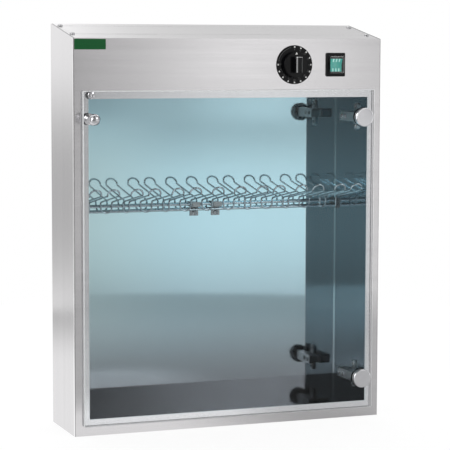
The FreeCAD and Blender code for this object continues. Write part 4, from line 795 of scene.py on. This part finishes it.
class CABINET_OT_rack(CabinetOperator):
    """Bend the hairpins of the rack and turn its rods"""

    bl_idname = "cabinet.rack"
    bl_label = "Rack"

    def work(self, sizes, colours):
        steel = bright_plating("Polished wire", colours.wire, 0.09)
        wires = [skin(self.hairpin(sizes, *place), caps=True) for place in self.places(sizes)]
        piece("rack_hairpins_bent", wires, "cabinet", steel, ["rack_hairpins"], crease=50)
        low, high = corners("rack_rods")
        radius = (high[1] - low[1]) / 2
        y = (low[1] + high[1]) / 2
        reach = high[0] - low[0]
        line = np.array([(0, 0), (radius, 0), (radius, reach), (0, reach)])
        profile = turned_profile(line, [0.4 * MM, 0.4 * MM])
        shells = [lathe(profile, np.array([low[0], y, z]), X_AXIS, 20)
                  for z in (low[2] + radius, high[2] - radius)]
        piece("rack_rods_turned", shells, "cabinet", steel, ["rack_rods"])
        nickel = bright_plating("Clip nickel", shade(colours.nickel, 0.38), 0.2)
        dress("rack_clips rack_end_hooks", nickel, 0.3 * MM)

    def places(self, sizes):
        """Each hairpin's middle and how far its feet curl to each side; the outermost feet don't."""
        outer = corners("rack_hairpins")[1][0] - sizes.wire_radius - sizes.hairpin_width / 2
        middles = np.concatenate([-HAIRPIN_SHARES[::-1], HAIRPIN_SHARES]) * outer
        curls = (np.diff(middles) - sizes.hairpin_width) / 2 - 0.025 * MM
        curls = [0.0, *curls, 0.0]
        return [(x, curls[i], curls[i + 1]) for i, x in enumerate(middles)]

    def hairpin(self, sizes, x, left_curl, right_curl):
        """Up past the rods, forward and up, round the front loop and back."""
        low, high = corners("rack_hairpins")
        wire = sizes.wire_radius
        half = sizes.hairpin_width / 2
        bend = sizes.rack_bend
        rear = high[1] - wire
        foot = low[2] + wire
        front_z = KNEE_HEIGHT + (rear - FRONT_BEND) * LEG_RISE
        loop = (FRONT_BEND - LOOP_REACH * math.cos(LOOP_LEAN), front_z + LOOP_REACH * math.sin(LOOP_LEAN))
        tight = 0.05 * MM
        leg = [(rear, foot), (rear, KNEE_HEIGHT), (FRONT_BEND, front_z), loop]
        line = [(x - half, *point) for point in leg] + [(x + half, *point) for point in leg[::-1]]
        radii = [bend, bend, half - tight, half - tight, bend, bend]
        if left_curl:
            line = [(x - half - left_curl, rear, foot)] + line
            radii = [left_curl - tight] + radii
        if right_curl:
            line = line + [(x + half + right_curl, rear, foot)]
            radii = radii + [right_curl - tight]
        points, directions = rounded(line, radii, 8)
        return tube(points, directions, WIRE_REFERENCE, wire, 16)


FIGURES = {
    "0": [(0, 1), (0, 5), (1, 6), (3, 6), (4, 5), (4, 1), (3, 0), (1, 0), (0, 1)],
    "1": [(1, 5), (2.2, 6), (2.2, 0)],
    "2": [(0, 5), (1, 6), (3, 6), (4, 5), (4, 4), (0, 0), (4, 0)],
    "3": [(0, 6), (4, 6), (2, 3.6), (3, 3.6), (4, 2.6), (4, 1), (3, 0), (1, 0), (0, 1)],
    "4": [(3, 0), (3, 6), (0, 2), (4, 2)],
    "5": [(4, 6), (0, 6), (0, 3.4), (3, 3.4), (4, 2.4), (4, 1), (3, 0), (0, 0)],
    "6": [(4, 6), (2, 6), (0, 3.6), (0, 1), (1, 0), (3, 0), (4, 1), (4, 2.4), (3, 3.4), (0, 3.4)],
    "7": [(0, 6), (4, 6), (1.5, 0)],
    "8": [(1, 3.3), (0, 4.2), (0, 5.2), (1, 6), (3, 6), (4, 5.2), (4, 4.2), (3, 3.3), (1, 3.3), (0, 2.4),
          (0, 0.9), (1, 0), (3, 0), (4, 0.9), (4, 2.4), (3, 3.3)],
    "9": [(4, 2.6), (1, 2.6), (0, 3.6), (0, 5), (1, 6), (3, 6), (4, 5), (4, 2.4), (2, 0), (0, 0)],
}
FIGURE_PITCH = 5.4
DIAL_STEPS = 13
DIAL_STEP_ANGLE = 22.5
ARC_RADIUS = 27.6 * MM
ARC_ENDS = -78, -14
BAR_HALF_WIDTH = 5.2 * MM
BAR_HALF_LENGTH = 12.5 * MM
# Depth of the bar's front part that carries painted highlights.
BAR_HIGHLIGHT_DEPTH = 1.45 * MM


def ribbon(line, width, y, thickness):
    """Flat printed line in the XZ plane: at each point of the line a small rectangle, square to the mean of
    the two runs that meet there."""
    line = np.array(line, float)
    runs = unit(np.diff(line, axis=0))
    heading = unit(np.concatenate([runs[:1], runs[:-1] + runs[1:], runs[-1:]]))
    square = np.stack([heading[:, 1], -heading[:, 0]], axis=-1)
    right = line + square * width / 2
    left = line - square * width / 2
    rows = [np.stack([side[:, 0], np.full(len(line), depth), side[:, 1]], axis=-1)
            for side, depth in ((right, y), (left, y), (left, y - thickness), (right, y - thickness))]
    return skin(np.stack(rows, axis=1), caps=True)


class CABINET_OT_timer(CabinetOperator):
    """Print the dial and mould the timer's knob"""

    bl_idname = "cabinet.timer"
    bl_label = "Timer"

    def work(self, sizes, colours):
        gloss = moulded_plastic("Black dial plastic", colours.black, 0.24, 0.2)
        dress("dial_plate", gloss)
        white = printed("White print", colours.white)
        self.print_dial(sizes, white, printed("Grey print", (0.16, 0.16, 0.16)))
        ridge = (middle("timer_knob"), BAR_HALF_WIDTH, BAR_HALF_LENGTH,
                 corners("timer_knob")[0][1] + BAR_HIGHLIGHT_DEPTH)
        self.knob(moulded_plastic("Black knob plastic", colours.black, 0.17, 0.15, ridge),
                  printed("White pointer", colours.white))
        dress("timer_spindle", bright_plating("Turned brass", (0.72, 0.55, 0.28), 0.2))
        dress("timer_housing", moulded_plastic("Timer case", (0.03, 0.03, 0.033), 0.5))

    def print_dial(self, sizes, white, grey):
        """Round dots and figures of strokes along the dial's steps, and an arc before the first dot."""
        face = corners("dial_plate")[0][1]
        centre = middle("dial_plate", face)
        ink = 0.05 * MM
        dots = []
        figures = []
        unit_size = sizes.figure_height / 6
        for step in range(DIAL_STEPS):
            angle = math.radians(step * DIAL_STEP_ANGLE)
            outward = np.array([math.sin(angle), math.cos(angle)])
            onward = np.array([math.cos(angle), -math.sin(angle)])
            spot = centre + sizes.dot_circle * (outward[0] * X_AXIS + outward[1] * Z_AXIS)
            rim = [(0, 0), (sizes.dot_radius, 0), (sizes.dot_radius, ink), (0, ink)]
            dots.append(lathe(rim, spot, -Y_AXIS, 28))
            text = str(step * 10)
            for place, digit in enumerate(text):
                shift = (place - (len(text) - 1) / 2) * FIGURE_PITCH - 2
                flat = np.array(FIGURES[digit], float) + (shift, 0)
                line = (centre[[0, 2]] + sizes.figure_circle * outward
                        + unit_size * (flat[:, :1] * onward + flat[:, 1:] * outward))
                figures.append(ribbon(line, sizes.figure_line, face, ink))
        piece("dial_dots", dots, "cabinet", white)
        piece("dial_figures", figures, "cabinet", grey)
        turn = np.radians(np.linspace(*ARC_ENDS, 40))
        arc = centre[[0, 2]] + ARC_RADIUS * np.stack([np.sin(turn), np.cos(turn)], axis=-1)
        piece("dial_arc", [ribbon(arc, 0.4 * MM, face, ink)], "cabinet", grey)

    def knob(self, black, white):
        """Skirt turned in one line with a shallow dished face; on it a long tapered bar with chamfered edges,
        and a printed pointer at the bar's tip."""
        low, high = corners("timer_knob")
        back = high[1]
        base = middle("timer_knob", back)
        reach = (back - low[1]) / MM
        radius = (high[0] - low[0]) / 2 / MM
        skirt = 8.0
        face = skirt - 0.35
        line = [(0, 0), (radius, 0), (radius - 0.5, skirt - 0.5), (radius - 1.0, skirt), (radius - 1.5, face),
                (0, face)]
        turned = lathe(turned_profile(line, [0.3, 0.4, 0.3, 0.3], 5) * MM, base, -Y_AXIS, 128)
        half_x = 5.0
        half_z = 12.5
        bevel = 1.2
        corner = 1.0
        rows = [(face - 1, 0, 0, 0), (face - 1, half_x + 2.0, half_z, corner),
                (face, half_x + 1.9, half_z, corner), (reach - bevel - 0.25, half_x + 0.2, half_z, corner),
                (reach - bevel, half_x + 0.1, half_z - 0.1, corner),
                (reach - 0.2, half_x - bevel + 0.1, half_z - bevel + 0.1, corner),
                (reach, half_x - bevel - 0.2, half_z - bevel - 0.2, corner * 0.8),
                (reach - 0.5, half_x - bevel - 0.7, half_z - bevel - 0.7, corner * 0.6),
                (reach - 0.5, 0, 0, 0)]
        sections = [(back - y * MM, x * MM, z * MM, r * MM) for y, x, z, r in rows]
        piece("timer_knob_moulded", [turned, boxy(base, sections)], "timer", black,
              ["timer_knob"], crease=38)
        x, _, z = base
        tip = z + 20.3 * MM
        foot = tip - 4.2 * MM
        front = back - face * MM
        pointer = [(x, tip), (x + 2.2 * MM, foot), (x - 2.2 * MM, foot)]
        rows = [[(x, front - d, z) for x, z in pointer] for d in (-0.1 * MM, 0.08 * MM)]
        piece("timer_pointer", [skin(np.array(rows), caps=True)], "timer", white)


RIB_PITCH = 5.1 * MM
RIB_HALF_WIDTH = 1.1 * MM
RIB_START = 5.0 * MM


class CABINET_OT_switch(CabinetOperator):
    """Mould the rocker and the clear hood of the switch"""

    bl_idname = "cabinet.switch"
    bl_label = "Switch"

    def work(self, sizes, colours):
        dress("switch_housing", moulded_plastic("Black bezel plastic", colours.black, 0.24, 0.3), 0.25 * MM)
        ribs = (middle("switch_rocker"), RIB_PITCH, RIB_HALF_WIDTH, RIB_START)
        dress("switch_rocker", lit_plastic("Green rocker", colours.rocker, 0.25, ribs))
        self.hood(clear_plastic("Clear hood", (0.97, 0.985, 0.98)))

    def hood(self, clear):
        """Soft clear cap: outside from the rim up to the crown, then back down inside, in one closed line."""
        low, high = corners("splash_hood")
        centre = middle("splash_hood")
        half_x = (high[0] - low[0]) / 2
        half_z = (high[2] - low[2]) / 2
        back = high[1]
        front = low[1]
        wall = 0.9 * MM

        def shell(inset, crown):
            edge = 1.8 * MM - inset
            corner = 2.5 * MM - inset
            rows = [(back, half_x - inset, half_z - inset, corner)]
            for turn in np.linspace(0, np.pi / 2, 9):
                inward = edge * (1 - math.cos(turn))
                rows.append((crown + edge * (1 - math.sin(turn)), half_x - inset - inward,
                             half_z - inset - inward, max(corner - inward, 0.3 * MM)))
            return rows + [(crown, 0, 0, 0)]

        outside = shell(0.0, front)
        inside = shell(wall, front + wall)
        piece("splash_hood_moulded", [boxy(centre, inside[::-1] + outside)], "cabinet", clear,
              ["splash_hood"], crease=45)


class CABINET_OT_hinges(CabinetOperator):
    """Finish the hinge plates and arms"""

    bl_idname = "cabinet.hinges"
    bl_label = "Hinges"

    def work(self, sizes, colours):
        nickel = bright_plating("Hinge nickel", colours.nickel, 0.42)
        dress("mounting_plates hinge_arms", nickel, 0.35 * MM)


class CABINET_OT_screws(CabinetOperator):
    """Cut the cross recesses of all visible screws"""

    bl_idname = "cabinet.screws"
    bl_label = "Screws"

    def work(self, sizes, colours):
        zinc = zinc_plating("Bright zinc", colours.zinc)
        slope = math.atan2(ROOF_RISE, DEPTH)
        roof = np.array([0, -math.sin(slope), math.cos(slope)])
        self.pans("cover_screws", roof, 4.0, 2.4, 8.0, self.cover_places(), zinc)
        wing = corners("right_liner")[0][0] - 3 * MM
        plate_places = [(wing, -25 * MM, z + rise * MM) for z in self.hinge_heights() for rise in (-16, 16)]
        self.pans("plate_screws", -X_AXIS, 3.6, 2.2, 8.0, plate_places, zinc)
        web = corners("arm_screws")[0][0] + 1.8 * MM
        arm_places = [(web, y * MM, z) for z in self.hinge_heights() for y in (-20, -6)]
        self.pans("arm_screws", -X_AXIS, 3.6, 1.8, 8.0, arm_places, zinc)
        low, high = corners("clip_screws")
        clip_places = [(side * (high[0] - 3.6 * MM), low[1] + 2.2 * MM, (low[2] + high[2]) / 2)
                       for side in (-1, 1)]
        self.pans("clip_screws", -Y_AXIS, 3.6, 2.2, 3.0, clip_places, zinc)
        low, high = corners("back_screws")
        rim = high[0] - 4 * MM
        back_places = [(side * rim, high[1], z) for side in (-1, 1)
                       for z in (low[2] + 4 * MM, (low[2] + high[2]) / 2, high[2] - 4 * MM)]
        self.sunk("back_screws", Y_AXIS, 1.5, back_places, zinc)
        low, high = corners("bottom_screws")
        bottom_places = [(side * rim, y, low[2]) for side in (-1, 1)
                         for y in (low[1] + 4 * MM, high[1] - 4 * MM)]
        self.sunk("bottom_screws", -Z_AXIS, 1.0, bottom_places, zinc)
        dress("timer_screws", zinc)

    @staticmethod
    def hinge_heights():
        low, high = corners("hinge_caps")
        radius = (high[0] - low[0]) / 2
        return low[2] + radius, high[2] - radius

    @staticmethod
    def cover_places():
        """Seats of the cover's screws on the sloping roof, two behind each other at each end."""
        x = corners("cover_screws")[1][0] - 4 * MM
        return [(side * x, depth - DEPTH / 2, FRONT_HEIGHT + depth * ROOF_RISE / DEPTH)
                for side in (-1, 1) for depth in (35 * MM, 105 * MM)]

    @staticmethod
    def pans(node, axis, radius, height, length, places, finish):
        """Pan heads, by head radius, head height and length in millimetres."""
        shells = [cross_screw(np.array(p), axis, radius * MM, height * MM, 2 * MM, length * MM)
                  for p in places]
        piece(node + "_cut", shells, "cabinet", finish, [node], crease=50)

    @staticmethod
    def sunk(node, axis, sheet, places, finish):
        """Countersunk heads, flush with a sheet whose thickness is in millimetres."""
        shells = [cross_screw(np.array(p), axis, 4 * MM, sheet * MM, 2 * MM, 8 * MM, arm=0.5, sunk=True)
                  for p in places]
        piece(node + "_cut", shells, "cabinet", finish, [node], crease=50)


class CABINET_OT_works(CabinetOperator):
    """Finish the lamp, the gear behind the front and the cord entry"""

    bl_idname = "cabinet.works"
    bl_label = "Lamp and gear"

    def work(self, sizes, colours):
        white = moulded_plastic("White mouldings", (0.78, 0.78, 0.75), 0.35)
        black = moulded_plastic("Black mouldings", (0.02, 0.02, 0.022), 0.45)
        bare = polished_steel("Bright aluminium", (0.78, 0.79, 0.80), 0.2)
        dress("lamp_tube", clear_plastic("Lamp glass", (0.95, 0.97, 0.98)))
        dress("lamp_caps reflector", bare)
        dress("lamp_holders starter starter_holder terminal_block", white)
        dress("door_switch", black)
        dress("ballast", laminations("Ballast core", (0.10, 0.10, 0.11)))
        dress("catch_magnet", bright_plating("Magnet nickel", (0.5, 0.5, 0.5), 0.25))
        dress("cord_bush", rubber("Bush rubber", (0.02, 0.02, 0.02)))


class CABINET_OT_stage(CabinetOperator):
    """Set the camera, the lights, the floor and the backdrop"""

    bl_idname = "cabinet.stage"
    bl_label = "Camera and studio"

    def work(self, sizes, colours):
        scene = bpy.context.scene
        self.camera(scene)
        self.floor(colours)
        self.lamps(scene)
        self.surroundings(scene)
        scene.view_settings.view_transform = "Standard"

    def camera(self, scene):
        """Long lens from the front left, a little above the object's middle and turned down to it."""
        place = (-1.0297, -2.7763, 0.6031)
        azimuth = math.radians(20.59)
        pitch = math.radians(-5.547)
        roll = math.radians(0.152)
        level_reach = math.cos(pitch)
        ahead = Vector((math.sin(azimuth) * level_reach, math.cos(azimuth) * level_reach, math.sin(pitch)))
        level = Vector((math.cos(azimuth), -math.sin(azimuth), 0))
        upright = level.cross(ahead)
        right = math.cos(roll) * level + math.sin(roll) * upright
        up = math.cos(roll) * upright - math.sin(roll) * level
        data = bpy.data.cameras.new("Camera")
        data.lens = 147.8
        data.sensor_width = 36
        data.clip_end = 60
        camera = bpy.data.objects.new("Camera", data)
        scene.collection.objects.link(camera)
        turn = Matrix((right, up, -ahead)).transposed()
        camera.matrix_world = Matrix.Translation(place) @ turn.to_4x4()
        scene.camera = camera

    def floor(self, colours):
        """Round pale table top. Where it is seen, by the eye or in metal and glass, most of its tone is a
        white glow, and the rest comes from the light that falls on it, so the shadow stays. Outside the main
        view the glow fades to grey towards the rim."""
        radius = 1.4
        finish = Finish("Pale floor", Roughness=0.7, IOR=1.4)
        speckle = finish.noise(3, detail=2)
        finish.set(Base_Color=finish.mix(speckle, (0.50, 0.50, 0.50), (0.52, 0.52, 0.52)))
        x, y, _ = finish.axes()
        out = (x * x + y * y) ** 0.5
        front = 1 - y.between(-0.30, -0.10)
        near = 1 - out.between(0.28, 0.42)
        lit_side = 1 - x.between(-0.12, 0.16)
        mirrored = 0.25 + front * lit_side * near * 0.55 + lit_side * (1 - front) * 0.6
        seen = sum(finish.add("ShaderNodeLightPath", {}, {}, output=ray) * share for ray, share in
                   (("Is Camera Ray", 0.75), ("Is Glossy Ray", mirrored), ("Is Transmission Ray", mirrored)))
        fade = out.between(0.7, 1.38) * (1 - x.between(-0.4, -0.12) * y.between(0.0, 0.4))
        backdrop = finish.mix(fade, colours.backdrop, shade(colours.backdrop, 0.56))
        glow = finish.add("ShaderNodeEmission", {}, {"Color": backdrop, "Strength": 1.2})
        finish.overlay(seen, glow)
        mesh = bpy.data.meshes.new("floor")
        angle = np.linspace(0, 2 * np.pi, 160, endpoint=False)
        rim = radius * np.stack([np.cos(angle), np.sin(angle), np.zeros_like(angle)], axis=-1)
        mesh.from_pydata(rim.tolist(), [], [list(range(len(rim)))])
        mesh.materials.append(finish.material)
        floor = bpy.data.objects.new("floor", mesh)
        bpy.context.scene.collection.objects.link(floor)

    def lamps(self, scene):
        """Soft boxes: (name, place, width, height, watts)."""
        boxes = [("Key", (1.9, -2.4, 2.2), 1.6, 1.6, 22), ("Fill", (-2.6, -1.6, 1.8), 1.6, 1.6, 18),
                 ("Top", (-0.2, 0.9, 2.6), 3.0, 2.4, 18)]
        for name, place, width, height, power in boxes:
            data = bpy.data.lights.new(name, "AREA")
            data.shape = "RECTANGLE"
            data.size = width
            data.size_y = height
            data.energy = power
            lamp = bpy.data.objects.new(name, data)
            scene.collection.objects.link(lamp)
            aim = Vector((0, 0, 0.32)) - Vector(place)
            lamp.matrix_world = Matrix.Translation(place) @ aim.to_track_quat("-Z", "Y").to_matrix().to_4x4()

    def surroundings(self, scene):
        """Studio round the object as a tone over directions, in degrees: turn is 0 at the front and grows to
        the right, height is 0 at the horizon. It has a bright wall at the front right, a shaded wall at the
        front left, two upright light boxes at the sides, a bright strip near the horizon, and a white window
        behind, where the main camera looks."""
        world = bpy.data.worlds.new("Studio")
        world.use_nodes = True
        scene.world = world
        sky = Nodes(world.node_tree)
        direction = sky.add("ShaderNodeTexCoord", {}, {}, output="Generated")
        x, y, z = (sky.add("ShaderNodeSeparateXYZ", {}, {0: direction}, output=i) for i in range(3))
        turn = x.math("ARCTAN2", y * -1) * (180 / math.pi)
        height = z.math("ARCSINE") * (180 / math.pi)

        def hill(value, centre, width):
            far = (value - centre) / width
            return (far * far * -1).math("EXPONENT")

        level = height.between(-2.6, -1.9)
        wall_above = turn.between(15.9, 21.8) * 1.7 - turn.between(22.2, 25.8) * 1.6 - hill(turn, 11, 5) * 0.4
        wall_below = turn.between(13.5, 21) * (1 - level) * 0.72
        right_wall = (wall_above * level + wall_below) * (1 - turn.between(50, 100))
        left_shade = hill(turn, -25, 20)
        flat = 1 - abs(height).between(18, 40)
        boxes = (hill(turn, -68, 6) * 2.6 + hill(turn, 111, 6) * 2.2) * flat
        rows = (height.between(-3.2, -0.4) * 0.45 + (1 - height.between(-8.6, -6.2)) * 0.4
                - hill(height, -4.5, 2) * 0.1)
        strip = (1 - turn.between(-150, -130)) * (1 - height.between(4, 15)) * rows
        window = turn.between(140, 151) * (1 - turn.between(169, 176))
        above = height.between(6, 14)
        overhead = hill(turn, 166, 3.5) * above * 0.65 - window * above * 0.22 - height.between(35, 60) * 0.12
        rear = (abs(turn) - 110).between(0, 30) * 0.16
        tone = 0.52 + right_wall * 0.62 - left_shade * 0.30 + strip + boxes + rear
        tone = tone + window * (1 - tone) + overhead
        sky.put(world.node_tree.nodes["Background"].inputs["Color"], tone)


class CABINET_PT_panel(bpy.types.Panel):
    """Steps and settings of the cabinet"""

    bl_label = "Cabinet"
    bl_idname = "CABINET_PT_panel"
    bl_space_type = "VIEW_3D"
    bl_region_type = "UI"
    bl_category = "Cabinet"

    def draw(self, context):
        layout = self.layout
        for step in STEPS:
            layout.operator(step.bl_idname)
        for group in (context.scene.cabinet_sizes, context.scene.cabinet_finishes):
            for name in type(group).__annotations__:
                layout.prop(group, name)


STEPS = (
    CABINET_OT_stage,
    CABINET_OT_sheet_metal,
    CABINET_OT_enamel_plate,
    CABINET_OT_door,
    CABINET_OT_rack,
    CABINET_OT_timer,
    CABINET_OT_switch,
    CABINET_OT_hinges,
    CABINET_OT_screws,
    CABINET_OT_works,
)
CLASSES = (CabinetSizes, CabinetFinishes, *STEPS, CABINET_PT_panel)


def register():
    for item in CLASSES:
        bpy.utils.register_class(item)
    bpy.types.Scene.cabinet_sizes = bpy.props.PointerProperty(type=CabinetSizes)
    bpy.types.Scene.cabinet_finishes = bpy.props.PointerProperty(type=CabinetFinishes)


def unregister():
    del bpy.types.Scene.cabinet_finishes
    del bpy.types.Scene.cabinet_sizes
    for item in reversed(CLASSES):
        bpy.utils.unregister_class(item)


def main():
    register()
    bpy.ops.cabinet.stage()
    bpy.ops.cabinet.sheet_metal()
    bpy.ops.cabinet.enamel_plate()
    bpy.ops.cabinet.door()
    bpy.ops.cabinet.rack()
    bpy.ops.cabinet.timer()
    bpy.ops.cabinet.switch()
    bpy.ops.cabinet.hinges()
    bpy.ops.cabinet.screws()
    bpy.ops.cabinet.works()
    bpy.context.view_layer.update()


if __name__ == "__main__":
    main()
